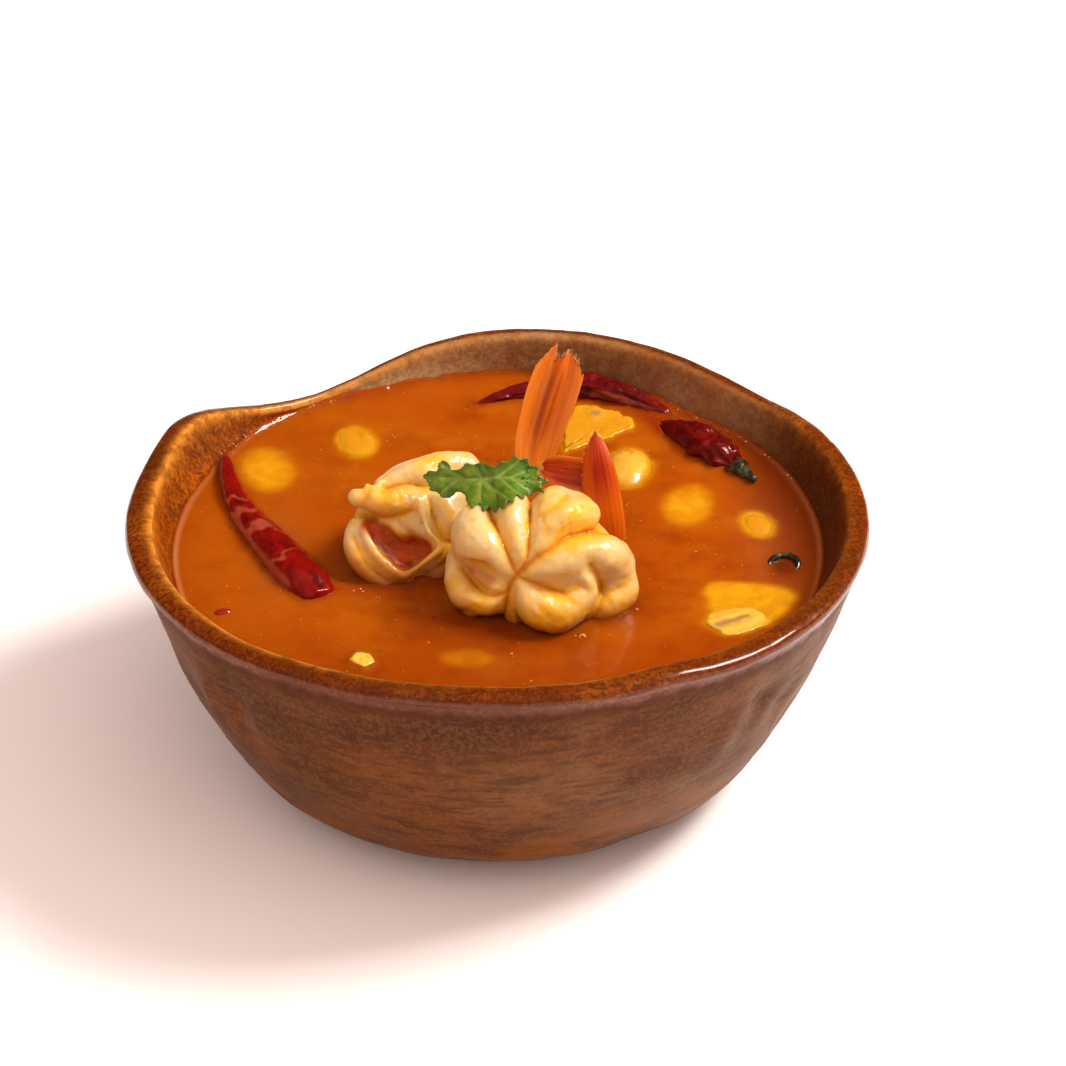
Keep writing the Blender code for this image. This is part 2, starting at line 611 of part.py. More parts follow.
def build():
    clear_scene()
    glaze = make_material("stoneware glaze", (0.20, 0.085, 0.035), 0.35)
    broth = make_material("chilli broth", (0.62, 0.17, 0.02), 0.18)
    meat = make_material("prawn meat", (0.86, 0.62, 0.33), 0.35)
    shell_orange = make_material("prawn tail shell, orange", (0.80, 0.27, 0.05), 0.4)
    shell_red = make_material("prawn tail shell, red", (0.62, 0.08, 0.02), 0.4)
    leaf_green = make_material("coriander", (0.13, 0.27, 0.04), 0.5)
    chilli_red = make_material("dried chilli", (0.30, 0.01, 0.012), 0.25)
    stalk_green = make_material("chilli stalk", (0.05, 0.055, 0.03), 0.4)
    mushroom = make_material("straw mushroom", (0.87, 0.52, 0.08), 0.35)
    galangal = make_material("galangal", (0.90, 0.66, 0.22), 0.45)

    make_bowl(glaze)
    soup = make_soup(broth)

    prawn_right = make_prawn("prawn_right", PRAWN_RIGHT_PLACE, PRAWN_RIGHT_LOBES, meat)
    right_cutter = swollen_copy(prawn_right, "prawn_right_cutter", GAP + 0.1)
    prawn_left = make_prawn("prawn_left", PRAWN_LEFT_PLACE, PRAWN_LEFT_LOBES, meat)
    left_cutter = swollen_copy(prawn_left, "prawn_left_cutter", GAP + 0.1)
    cut_away(prawn_left, right_cutter)
    cut_away(prawn_left, make_hollow(meat))
    cut_away(soup, right_cutter)
    cut_away(soup, left_cutter)

    tail_left = make_tail_left("prawn_left_tail", shell_orange)
    cut_away(prawn_left, hide_as_cutter(make_tail_left("tail_left_cutter", shell_orange, GAP)))
    tail_right = make_tail_right("prawn_right_tail", shell_red)
    tail_right_cutter = hide_as_cutter(make_tail_right("tail_right_cutter", shell_red, GAP))
    cut_away(prawn_right, tail_right_cutter)
    cut_away(soup, tail_right_cutter)

    bpy.context.view_layer.update()
    make_leaf(leaf_green, (prawn_left, prawn_right, tail_left, tail_right))

    make_chilli("chilli_left", CHILLI_LEFT, chilli_red)
    cut_from_soup(soup, make_chilli, "chilli_left", CHILLI_LEFT, chilli_red)
    make_chilli("chilli_rear", CHILLI_REAR, chilli_red)
    cut_from_soup(soup, make_chilli, "chilli_rear", CHILLI_REAR, chilli_red)
    make_chilli("chilli_right", CHILLI_RIGHT, chilli_red)
    cut_from_soup(soup, make_chilli, "chilli_right", CHILLI_RIGHT, chilli_red)
    make_chilli("chilli_right_cap", CHILLI_CAP, stalk_green)
    cut_from_soup(soup, make_chilli, "chilli_right_cap", CHILLI_CAP, stalk_green)

    caps = (
        ("mushroom_rear_left", MUSHROOM_REAR_LEFT),
        ("mushroom_rear_right", MUSHROOM_REAR_RIGHT),
        ("mushroom_right", MUSHROOM_RIGHT),
    )
    for name, cap in caps:
        make_cap(name, cap, mushroom)
        cut_from_soup(soup, make_cap, name, cap, mushroom)
    make_slice("mushroom_wedge", MUSHROOM_WEDGE, mushroom)
    cut_from_soup(soup, make_slice, "mushroom_wedge", MUSHROOM_WEDGE, mushroom)
    make_slice("mushroom_slice", MUSHROOM_SLICE, mushroom)
    cut_from_soup(soup, make_slice, "mushroom_slice", MUSHROOM_SLICE, mushroom)
    make_slice("galangal_chip", GALANGAL, galangal)
    cut_from_soup(soup, make_slice, "galangal_chip", GALANGAL, galangal)


build()
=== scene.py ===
"""Looks of a bowl of tom yum soup: a hand-pinched stoneware bowl, cloudy chilli broth, two curled prawns with
their tail fans, a coriander leaf, dried chillies, straw mushrooms and what floats between them.

The sections follow the dish as it is put together. Lengths are in millimetres until a mesh is made.
"""

import math
import random

import bmesh
import bpy
import numpy as np
import openvdb
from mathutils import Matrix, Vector, noise
from mathutils.bvhtree import BVHTree
from mathutils.geometry import delaunay_2d_cdt


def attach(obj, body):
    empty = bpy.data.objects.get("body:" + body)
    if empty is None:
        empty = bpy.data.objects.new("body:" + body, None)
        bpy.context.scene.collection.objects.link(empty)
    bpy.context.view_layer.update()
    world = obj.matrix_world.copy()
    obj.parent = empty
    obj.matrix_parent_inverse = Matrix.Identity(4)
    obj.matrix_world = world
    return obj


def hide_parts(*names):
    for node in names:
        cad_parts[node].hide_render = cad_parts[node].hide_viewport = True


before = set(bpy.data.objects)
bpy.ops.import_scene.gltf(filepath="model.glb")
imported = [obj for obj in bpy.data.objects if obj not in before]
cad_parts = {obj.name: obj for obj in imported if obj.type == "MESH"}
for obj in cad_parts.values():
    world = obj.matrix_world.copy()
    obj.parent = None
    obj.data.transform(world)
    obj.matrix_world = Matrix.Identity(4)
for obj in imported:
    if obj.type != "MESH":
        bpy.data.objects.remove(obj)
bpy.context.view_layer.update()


# Bowl ------------------------------------------------------------------------------------------------------
# A bowl pinched and smoothed by hand from iron-rich stoneware, so its rim rises, dips and turns out unevenly.
# It is lofted in rings round Z from the foot over the lip to the inner floor, and then pressed in by fingers.

MM = 0.001
BOWL_DIVISIONS, ROWS_PER_SECTION = 440, 3
WALL_STEPS, FLOOR_STEPS = 15, 10
RIM_RADIUS, RIM_OVAL, RIM_HEIGHT, LIP_WIDTH = 78.6, 1.2, 58.4, 4.8
SOUP_LEVEL = 49.5
# The walls, from the foot up: height and radius.
OUTER_WALL = ((0.0, 47.2), (3.0, 50.6), (8.0, 57.6), (16.0, 62.9), (28.0, 69.1), (42.0, 74.0), (55.0, 77.9))
INNER_WALL = ((8.5, 36.0), (10.5, 45.0), (15.0, 52.5), (24.0, 59.8), (36.0, 65.4), (49.5, 69.7))
FLOOR_DIP, FOOT_RECESS = 1.0, 1.1
# The foot's underside: radius and height of each ring.
FOOT_RINGS = ((38.0, FOOT_RECESS), (40.5, 0.5), (42.5, 0.0), (45.6, 0.0))
# Unevenness of the rim: azimuth and half-width in degrees, then outwards and upwards.
RIM_WAVES = (
    (124.5, 20.5, -4.8, -6.6), (151, 10, 2.2, 1.6), (268, 62, -2.6, 5.0), (78, 16, 0.4, 0.6),
    (42, 13, -0.6, -1.6), (297, 9, 0.2, 1.2), (221, 8, -0.8, -1.0),
)
# Where the lip is wider, rolls outwards, and the inside swells: azimuth, half-width and how far.
LIP_WAVES = ((123, 20, -1.9), (180, 32, 0.9))
LIP_ROLL = (176, 30, 1.3)
INSIDE_WAVES = ((80, 16, 2.0), (50, 12, -1.4), (112, 10, -0.9), (136, 11, 1.4))
# Finger marks in the outer wall: azimuth, height, spread along the wall, spread up it, depth.
FINGER_MARKS = (
    (318, 44, 4.5, 4.5, 1.5), (310, 38, 3.6, 5.5, -0.8), (326, 36, 4.5, 5.5, 1.3), (334, 28, 5.5, 4.5, 1.1),
    (222, 43, 3.2, 8.5, 1.2), (214, 39, 3.2, 8.5, -0.8), (207, 30, 4.5, 7.5, 0.9), (245, 12, 9.0, 4.0, 0.7),
    (262, 9, 8.0, 4.0, 0.5), (300, 10, 9.0, 4.0, 0.7), (20, 34, 6.0, 7.0, 0.8), (70, 30, 7.0, 7.0, 0.7),
    (108, 38, 6.0, 6.0, 0.8), (150, 26, 8.0, 7.0, 0.6),
)


def hump(offset, spread):
    """1 where the offset is 0, fading smoothly to 0 over the spread."""
    return np.exp(-((offset / spread) ** 2))


def bell(angles, centre, half_width):
    """1 at the centre azimuth, fading smoothly to 0 over half_width degrees."""
    return hump((angles - centre + 180) % 360 - 180, half_width)


def smooth_line(points, count):
    """Points along a Catmull-Rom curve through the given ones, evenly spaced in parameter."""
    points = np.asarray(points, float)
    padded = np.concatenate([2 * points[:1] - points[1:2], points, 2 * points[-1:] - points[-2:-1]])
    place = np.linspace(0, len(points) - 1, count)
    k = np.minimum(place.astype(int), len(points) - 2)
    t = (place - k).reshape(-1, *[1] * (points.ndim - 1))
    before, start, end, after = (padded[k + i] for i in range(4))
    bend = (2 * before - 5 * start + 4 * end - after) * t**2
    return 0.5 * (2 * start + (end - before) * t + bend + (3 * start - before - 3 * end + after) * t**3)


def smooth_value(points, x):
    """Value at x of a smooth curve through (x, value) points."""
    xs, values = np.array(points, float).T
    slopes = np.gradient(values, xs)
    k = np.clip(np.searchsorted(xs, x) - 1, 0, len(xs) - 2)
    span = xs[k + 1] - xs[k]
    t = (x - xs[k]) / span
    rise = (2 * t**3 - 3 * t**2 + 1) * values[k] + (3 * t**2 - 2 * t**3) * values[k + 1]
    return rise + span * ((t**3 - 2 * t**2 + t) * slopes[k] + (t**3 - t**2) * slopes[k + 1])


def rim_radius(angles):
    waves = sum(out * bell(angles, centre, width) for centre, width, out, up in RIM_WAVES)
    return RIM_RADIUS + RIM_OVAL * np.cos(np.radians(2 * angles)) + waves


def rim_height(angles):
    return RIM_HEIGHT + sum(up * bell(angles, centre, width) for centre, width, out, up in RIM_WAVES)


def inside_radius(angles):
    """Radius of the inside at the level of the broth."""
    return INNER_WALL[-1][1] + sum(out * bell(angles, centre, width) for centre, width, out in INSIDE_WAVES)


def outer_point(angles, share):
    """Radius and height on the outside; share runs from 0 at the foot to 1 under the lip."""
    roll = LIP_ROLL[2] * bell(angles, LIP_ROLL[0], LIP_ROLL[1])
    shift = rim_radius(angles) - 0.7 - roll - OUTER_WALL[-1][1]
    radius = smooth_value(OUTER_WALL, np.full_like(angles, share * OUTER_WALL[-1][0])) + shift * share**2.6
    return radius, share * (rim_height(angles) - 3.4)


def inner_point(angles, height):
    foot = INNER_WALL[0][0]
    share = (height - foot) / (INNER_WALL[-1][0] - foot)
    shift = inside_radius(angles) - INNER_WALL[-1][1]
    return smooth_value(INNER_WALL, np.full_like(angles, height)) + shift * share**2, height + 0 * angles


def lip_points(angles):
    """The lip's section: from under the outside, over the crest and down to the broth."""
    radius, height = rim_radius(angles), rim_height(angles)
    width = LIP_WIDTH + sum(wider * bell(angles, centre, spread) for centre, spread, wider in LIP_WAVES)
    middle = (radius - width - 0.5 + inside_radius(angles) + 0.8) / 2
    return (
        (radius - 0.1, height - 2.4),
        (radius, height - 1.2),
        (radius - 0.7, height - 0.3),
        (radius - 0.5 * width, height + 0.1),
        (radius - 0.85 * width, height),
        (radius - width - 0.3, height - 1.2),
        (middle, (height + SOUP_LEVEL) / 2 - 0.4),
    )


def new_piece(name, points, faces=(), edges=(), smooth=True):
    """A mesh object at the origin, from points in millimetres."""
    mesh = bpy.data.meshes.new(name)
    mesh.from_pydata((np.asarray(points) * MM).tolist(), edges, [list(map(int, face)) for face in faces])
    mesh.update()
    if smooth:
        mesh.shade_smooth()
    piece = bpy.data.objects.new(name, mesh)
    bpy.context.scene.collection.objects.link(piece)
    return piece


def paint(piece, **layers):
    """Keep a value for each point, or one value for all of them, for the finish to read."""
    for name, values in layers.items():
        layer = piece.data.attributes.new(name, "FLOAT", "POINT")
        every = np.broadcast_to(np.asarray(values, np.float32), len(piece.data.vertices))
        layer.data.foreach_set("value", np.ascontiguousarray(every))


def quad_faces(index, across):
    """Quads between each row of point numbers and the next; across is the same rows moved on by one."""
    return np.stack([index[:-1], across[:-1], across[1:], index[1:]], axis=-1).reshape(-1, 4).tolist()


def cap_faces(ring, tip, flip=False):
    """Triangles from one ring to the point at its middle."""
    pairs = zip(ring, [*ring[1:], ring[0]])
    return [(b, a, tip) if flip else (a, b, tip) for a, b in pairs]


def tube_faces(rows, columns, flip=False):
    """Faces of a tube of closed rings, shut by two end points that follow its last ring."""
    index = np.arange(rows * columns).reshape(rows, columns)
    faces = quad_faces(index, np.roll(index, -1, axis=1))
    faces += cap_faces(index[0].tolist(), rows * columns, flip=True)
    faces += cap_faces(index[-1].tolist(), rows * columns + 1)
    return [face[::-1] for face in faces] if flip else faces


def ease(low, high, value):
    """0 below low, 1 above high and a smooth rise between."""
    t = np.clip((np.asarray(value, float) - low) / (high - low), 0, 1)
    return t * t * (3 - 2 * t)


def unevenness(points, size, octaves=2, seed=0.0):
    """Soft natural noise from -1 to 1 at each point, with features of the given size in millimetres."""
    shift = Vector((seed, seed * 0.7, -seed))
    return np.array([noise.fractal(Vector(p) / size + shift, 1.0, 2.0, octaves) for p in points])


def on_circle(radius, turn, *level):
    """Points at a radius and turn, and a level where one is given."""
    return np.stack([radius * np.cos(turn), radius * np.sin(turn), *level], axis=-1)


azimuths = np.arange(BOWL_DIVISIONS) * 360 / BOWL_DIVISIONS
sections = [(radius + 0 * azimuths, level + 0 * azimuths) for radius, level in FOOT_RINGS]
for step in range(WALL_STEPS):
    share = (step / (WALL_STEPS - 1)) ** 1.25
    radius, height = outer_point(azimuths, share)
    sections.append((radius, height + max(0.5 - 4 * share, 0)))
outer_count = len(sections)
sections += lip_points(azimuths)
lip_count = len(sections)
for step in range(FLOOR_STEPS):
    level = SOUP_LEVEL + (INNER_WALL[0][0] - SOUP_LEVEL) * (step / (FLOOR_STEPS - 1)) ** 0.8
    sections.append(inner_point(azimuths, level))
sections = smooth_line(np.array(sections), ROWS_PER_SECTION * (len(sections) - 1) + 1)
bowl_rows = len(sections)
points = on_circle(sections[:, 0], np.radians(azimuths), sections[:, 1]).reshape(-1, 3)
rows = np.repeat(np.arange(bowl_rows), BOWL_DIVISIONS) / ROWS_PER_SECTION
outside = 1 - ease(outer_count - 0.6, outer_count + 1.4, rows)
inside = ease(lip_count - 2.6, lip_count - 1.4, rows)
across = np.tile(azimuths, bowl_rows)
pressed = np.zeros(len(points))
for azimuth, level, wide, tall, depth in FINGER_MARKS:
    along = np.radians((across - azimuth + 180) % 360 - 180) * RIM_RADIUS
    pressed += depth * hump(along, wide) * hump(points[:, 2] - level, tall)
lumps = 0.55 * unevenness(points, 17, 2) + 0.14 * unevenness(points, 5, 2, seed=9)
inwards = outside * ease(1.5, 6, points[:, 2]) * (pressed + 0.8 * lumps)
inwards += 0.25 * lumps * inside * ease(SOUP_LEVEL - 3, SOUP_LEVEL + 2, points[:, 2])
points[:, :2] -= on_circle(inwards, np.radians(across))
points[:, 2] += (1 - outside) * (1 - inside) * 0.22 * unevenness(points, 7, 2, seed=4)
points = np.concatenate([points, [(0, 0, FOOT_RECESS), (0, 0, INNER_WALL[0][0] - FLOOR_DIP)]])
bowl = new_piece("stoneware_bowl", points, tube_faces(bowl_rows, BOWL_DIVISIONS))
rim_top = rim_height(np.degrees(np.arctan2(points[:, 1], points[:, 0])))
paint(
    bowl,
    below_rim=rim_top - points[:, 2],
    lip_inside=np.append(ease(outer_count + 2.4, outer_count + 3.8, rows), (0, 1)),
    inner_lip=np.append(hump(rows - outer_count - 4.4, 0.75), (0, 0)),
    clay_foot=1 - ease(2.6, 3.4, np.append(rows, (0, 99))),
)


class Value:
    """An output in a node tree. Sums on it add math nodes, which is how the masks are made."""

    def __init__(self, socket):
        self.socket = socket
        self.tree = socket.id_data

    def other(self, name):
        return Value(self.socket.node.outputs[name])

    def __add__(self, more):
        return node(self.tree, "ShaderNodeMath", {0: self, 1: more}, operation="ADD")

    def __sub__(self, less):
        return node(self.tree, "ShaderNodeMath", {0: self, 1: less}, operation="SUBTRACT")

    def __rsub__(self, more):
        return node(self.tree, "ShaderNodeMath", {0: more, 1: self}, operation="SUBTRACT")

    def __mul__(self, times):
        return node(self.tree, "ShaderNodeMath", {0: self, 1: times}, operation="MULTIPLY")

    __radd__, __rmul__ = __add__, __mul__


def node(tree, kind, inputs=None, output=0, **settings):
    """Add a node, set its options, link or set its inputs, and give one of its outputs."""
    made = tree.nodes.new(kind)
    for name, value in settings.items():
        setattr(made, name, value)
    for socket, value in (inputs or {}).items():
        if isinstance(value, Value):
            tree.links.new(value.socket, made.inputs[socket])
        else:
            made.inputs[socket].default_value = value
    return Value(made.outputs[output])


def clipped(value):
    """The same sum, kept between 0 and 1."""
    value.socket.node.use_clamp = True
    return value


def between(value, low, high):
    """Stretch a value so that low becomes 0 and high becomes 1, softly."""
    inputs = {"Value": value, "From Min": low, "From Max": high}
    return node(value.tree, "ShaderNodeMapRange", inputs, interpolation_type="SMOOTHSTEP")


def layered(colour, *coats):
    """Lay coats over a colour, each a mask from 0 to 1 and the colour that it brings."""
    for mask, coat in coats:
        under, over = (part if isinstance(part, Value) else (*part, 1) for part in (colour, coat))
        colour = node(mask.tree, "ShaderNodeMix", {0: mask, 6: under, 7: over}, output=2, data_type="RGBA")
    return colour


def new_tree(name, kind, inputs, result):
    """A node group with named inputs (name, kind, default) and one named result; gives it and its inputs."""
    tree = bpy.data.node_groups.new(name, kind)
    for label, sort, default in inputs:
        socket = tree.interface.new_socket(label, in_out="INPUT", socket_type="NodeSocket" + sort)
        if default is not None:
            socket.default_value = default
    tree.interface.new_socket(result[0], in_out="OUTPUT", socket_type="NodeSocket" + result[1])
    return tree, {socket.name: Value(socket) for socket in tree.nodes.new("NodeGroupInput").outputs}


def give(value):
    """End a node group with this value as its result."""
    value.tree.links.new(value.socket, value.tree.nodes.new("NodeGroupOutput").inputs[0])


# Patches: soft-edged blotches of one colour over another, as glaze, stains and clouds of spice make them.
PATCH_INPUTS = (
    ("Vector", "Vector", None), ("Scale", "Float", 100.0), ("Detail", "Float", 3.0),
    ("Stretch", "Vector", (1, 1, 1)), ("Low", "Float", 0.4), ("High", "Float", 0.6),
)
patch_group, given = new_tree("Patches", "ShaderNodeTree", PATCH_INPUTS, ("Mask", "Float"))
inputs = {0: given["Vector"], 1: given["Stretch"]}
stretched = node(patch_group, "ShaderNodeVectorMath", inputs, operation="MULTIPLY")
inputs = {"Vector": stretched, "Scale": given["Scale"], "Detail": given["Detail"], "Roughness": 0.6}
give(between(node(patch_group, "ShaderNodeTexNoise", inputs), given["Low"], given["High"]))

# Specks: small round dots scattered at random, larger and smaller, with some places left bare.
SPECK_INPUTS = (
    ("Vector", "Vector", None), ("Scale", "Float", 500.0), ("Size", "Float", 0.25), ("Share", "Float", 0.5),
)
speck_group, given = new_tree("Specks", "ShaderNodeTree", SPECK_INPUTS, ("Mask", "Float"))
inputs = {"Vector": given["Vector"], "Scale": given["Scale"]}
distance = node(speck_group, "ShaderNodeTexVoronoi", inputs, "Distance")
chance = node(speck_group, "ShaderNodeSeparateColor", {0: distance.other("Color")})
kept = node(speck_group, "ShaderNodeMath", {0: chance, 1: given["Share"]}, operation="LESS_THAN")
give(between(given["Size"] * (chance + 0.5) - distance, 0.0, 0.12) * kept)


class Finish:
    """A material with its Principled shader; values that are the same all over are set on its sockets."""

    def __init__(self, name, **values):
        self.material = bpy.data.materials.new(name)
        self.material.use_nodes = True
        self.tree = self.material.node_tree
        self.inputs = self.tree.nodes["Principled BSDF"].inputs
        self.place = node(self.tree, "ShaderNodeTexCoord", output="Object")
        for socket, value in values.items():
            self.inputs[socket.replace("_", " ")].default_value = value

    def axes(self):
        """How far a spot lies along X, Y and Z, in metres."""
        x = node(self.tree, "ShaderNodeSeparateXYZ", {0: self.place})
        return x, x.other("Y"), x.other("Z")

    def painted(self, name):
        return node(self.tree, "ShaderNodeAttribute", output="Fac", attribute_name=name)

    def patches(self, scale, detail, low, high, stretch=(1, 1, 1), place=None):
        inputs = {"Vector": place or self.place, "Scale": scale, "Detail": detail, "Stretch": stretch}
        return node(self.tree, "ShaderNodeGroup", inputs | {"Low": low, "High": high}, node_tree=patch_group)

    def specks(self, scale, size, share):
        inputs = {"Vector": self.place, "Scale": scale, "Size": size, "Share": share}
        return node(self.tree, "ShaderNodeGroup", inputs, node_tree=speck_group)

    def noise(self, scale, detail=2.0, roughness=0.5):
        """Fractal noise, with scale in features per metre."""
        inputs = {"Vector": self.place, "Scale": scale, "Detail": detail, "Roughness": roughness}
        return node(self.tree, "ShaderNodeTexNoise", inputs)

    def complete(self, colour, roughness=None, relief=None, coat=None):
        """Give the shader its colour, roughness, gloss coat, and relief as (height, strength, depth)."""
        normal = None
        if relief:
            inputs = dict(zip(("Height", "Strength", "Distance"), relief))
            normal = node(self.tree, "ShaderNodeBump", inputs)
        results = {"Base Color": colour, "Roughness": roughness, "Coat Weight": coat, "Normal": normal}
        for name, value in results.items():
            if value:
                self.tree.links.new(value.socket, self.inputs[name])

    def cover(self, *pieces):
        for piece in pieces:
            piece.data.materials.append(self.material)


GLAZE_BROWN = (0.150, 0.041, 0.003)
GLAZE_UMBER = (0.070, 0.021, 0.004)
GLAZE_AMBER = (0.205, 0.062, 0.002)
GLAZE_MIST_AND_SHEEN = (0.205, 0.096, 0.034)
RIM_RUST = (0.215, 0.046, 0.002)
RIM_LIGHT = (0.560, 0.200, 0.016)
RIM_DARK = (0.080, 0.016, 0.002)
CREST_HIGHLIGHT_AMBER = (0.600, 0.245, 0.032)
INSIDE_AMBER = (0.400, 0.098, 0.002)
INSIDE_TAUPE_SHEEN = (0.350, 0.212, 0.100)
CLAY_BARE = (0.230, 0.110, 0.055)

glaze = Finish("stoneware glaze", Coat_Roughness=0.12, IOR=1.36, Specular_IOR_Level=0.2)
below_rim, inner_side, clay_foot = (glaze.painted(name) for name in ("below_rim", "lip_inside", "clay_foot"))
x, y, z = glaze.axes()
brushed = glaze.patches(34, 6, 0.38, 0.66, (1, 1, 2.2))
clouds = glaze.patches(26, 6, 0.42, 0.62, (1, 1, 1.6))
warm = glaze.patches(40, 6, 0.46, 0.68, (1, 1, 2.5))
streaks = glaze.patches(70, 6, 0.52, 0.62, (1, 1, 5))
scratches = glaze.patches(120, 8, 0.48, 0.60, (1, 1, 6))
runs = glaze.patches(95, 4, 0.50, 0.62, (1, 1, 0.4))
mottle = glaze.patches(380, 5, 0.44, 0.60)
fine = glaze.patches(1100, 3, 0.44, 0.58)
grain = glaze.specks(1300, 0.42, 0.5)
pits = glaze.specks(330, 0.2, 0.22)
low_down = between(z, 0.034, 0.006)
# Grey mist over the outside, partly glaze colour and partly painted sheen, laid on more strongly at the right
# and higher up.
mist_and_sheen = (0.75 - low_down * 0.35) * (between(x, -0.030, 0.030) * 0.7 + 0.3)
outer_glaze = layered(
    GLAZE_BROWN,
    (brushed, GLAZE_UMBER),
    (clouds * mist_and_sheen, GLAZE_MIST_AND_SHEEN),
    # Painted shade: darker umber over the right side of the outside.
    (between(x, 0.006, 0.048) * 0.4, GLAZE_UMBER),
    (mottle * 0.30, GLAZE_UMBER),
    (fine * 0.36, GLAZE_MIST_AND_SHEEN),
    (scratches * 0.6, GLAZE_UMBER),
    (streaks * (low_down * 0.45 + 0.14), GLAZE_AMBER),
    (warm * (low_down * 0.7 + 0.15), GLAZE_AMBER),
    # Darker near the foot, partly dark glaze and partly painted contact shadow.
    (between(z, 0.013, 0.003) * 0.65, GLAZE_UMBER),
    (between(below_rim, 2.2, 3.8) * between(below_rim, 8.5, 5.0) * 0.7, RIM_DARK),
)
# Inside: amber at the sides, and taupe at the back, partly glaze colour and partly painted reflection.
# Both are darker towards the right, as painted shade.
taupe_and_sheen = layered(
    INSIDE_TAUPE_SHEEN,
    (mottle * 0.3, GLAZE_BROWN),
    (fine * 0.25, GLAZE_UMBER),
    # Painted shade: darker towards the right.
    (between(x, 0.004, 0.036) * 0.5, GLAZE_BROWN),
    (runs * 0.45, RIM_RUST),
)
at_back = between(y, 0.022, 0.052) * (0.98 - warm * 0.35) * between(x, -0.054, -0.034)
inner_glaze = layered(
    INSIDE_AMBER,
    (brushed * 0.6, GLAZE_BROWN),
    (mottle * 0.48, RIM_DARK),
    (fine * 0.60, RIM_DARK),
    # Painted shade on the right inner wall, which faces away from the light.
    (between(x, 0.020, 0.060) * 0.85, GLAZE_UMBER),
    (at_back, taupe_and_sheen),
    (grain * 0.18, RIM_LIGHT),
)
# The rim: the glaze breaks to rust where it is thin over the edge. The inner crest is amber, partly glaze
# break and partly painted highlight, strongest at the left.
wander = (clouds - 0.5) * 1.2 + mottle * 0.9 + between(y, 0.010, 0.045) * 2.2
on_rim = between(below_rim + inner_side * 3.0 + wander, 5.7, 3.4)
rust = layered(
    RIM_RUST,
    (warm * 0.35, RIM_LIGHT),
    (brushed * 0.6, GLAZE_UMBER),
    (mottle * 0.3, RIM_DARK),
    (between(y, -0.030, -0.066) * 0.35, RIM_DARK),
    (between(y, 0.030, 0.060) * 0.30, RIM_DARK),
    (fine * 0.7, RIM_DARK),
    (grain * 0.16, RIM_LIGHT),
)
# Painted highlight, partly glaze break: amber along the inner crest, strongest at the left.
crest = glaze.painted("inner_lip") * (between(x, 0.010, -0.062) * 0.8 + 0.2) * (1.0 - mottle * 0.55)
glaze.complete(
    layered(
        outer_glaze,
        (inner_side, inner_glaze),
        (on_rim, rust),
        (crest, CREST_HIGHLIGHT_AMBER),
        (pits * 0.7, GLAZE_UMBER),
        (clay_foot, CLAY_BARE),
    ),
    roughness=0.46 - on_rim * 0.22 + brushed * 0.10 + clay_foot * 0.4,
    relief=(glaze.noise(420, 5, 0.65) - pits * 0.8, 0.50, 0.0005),
    coat=clipped(on_rim * 0.40 + inner_side * 0.25) + 0.12,
)
glaze.cover(bowl)
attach(bowl, "root")
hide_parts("bowl")


# Straw mushrooms -------------------------------------------------------------------------------------------
# Small whole straw mushrooms and two thick slices, cooked until they are soft and stained by the broth.
# The caps are swollen balls with a fold pressed into them; the slices are thick pads with soft, uneven edges.

CAP_ROWS, CAP_COLUMNS = 44, 72
# Caps, of which two stay under the surface: centre, half-sizes, turn and fold direction.
CAPS = {
    "mushroom_rear_left": ((-31.4, 42.0, 48.9), (4.7, 6.7, 1.25), 20, (0.6, 0.1, 0.75)),
    "mushroom_rear_right": ((28.9, 30.4, 48.1), (5.6, 8.6, 3.9), -10, (-0.35, 0.35, 0.85)),
    "mushroom_right": ((56.5, 7.6, 48.75), (3.5, 5.6, 1.2), 15, (-0.3, 0.4, 0.85)),
    "mushroom_sunk_left": ((-51.2, 30.6, 45.8), (6.4, 9.6, 3.45), 12, (0.05, 0.1, 0.93)),
    "mushroom_sunk_right": ((41.7, 15.4, 45.6), (5.8, 9.0, 3.6), -14, (0.3, 0.5, 0.8)),
}
# Outlines of the cut pieces from above, and marks on two of them.
MUSHROOM_WEDGE = (
    (14.6, 36.6), (19.8, 40.0), (25.8, 43.0), (30.2, 46.8), (31.2, 50.0), (28.9, 51.4), (27.0, 53.9),
    (24.2, 54.2), (22.0, 56.0), (17.6, 55.4), (15.2, 46.0),
)
STALK_SCAR = (22.4, 52.4)
MUSHROOM_SLICE = (
    (43.0, -29.6), (44.6, -24.4), (44.2, -15.6), (52.0, -14.6), (61.4, -17.4), (62.0, -22.6), (56.0, -30.4),
    (48.0, -34.0),
)
SLICE_TOP = 48.5
GILL_LINE = ((46.2, -30.4), (49.2, -29.0), (52.2, -27.2))
SUNK_STRIP = ((-12.5, -40.2), (-6.0, -38.2), (-1.0, -41.2), (-3.6, -44.0), (-10.6, -43.4))
SUNK_SLAB = ((-21.5, 31.0), (-12.0, 33.4), (-9.6, 29.8), (-17.0, 26.6), (-22.4, 27.8))


def ball_grid(rows, columns):
    """Directions over a sphere, ring by ring from the top, and its faces with both poles closed."""
    down = np.pi * np.arange(1, rows) / rows
    turn = 2 * np.pi * np.arange(columns) / columns
    down, turn = np.meshgrid(down, turn, indexing="ij")
    ways = on_circle(np.sin(down), turn, np.cos(down)).reshape(-1, 3)
    return np.concatenate([ways, [(0, 0, 1), (0, 0, -1)]]), tube_faces(rows - 1, columns, flip=True)


def turned(points, degrees):
    """Points turned about Z."""
    c, s = math.cos(math.radians(degrees)), math.sin(math.radians(degrees))
    x, y, z = points.T
    return np.stack([c * x - s * y, s * x + c * y, z], axis=-1)


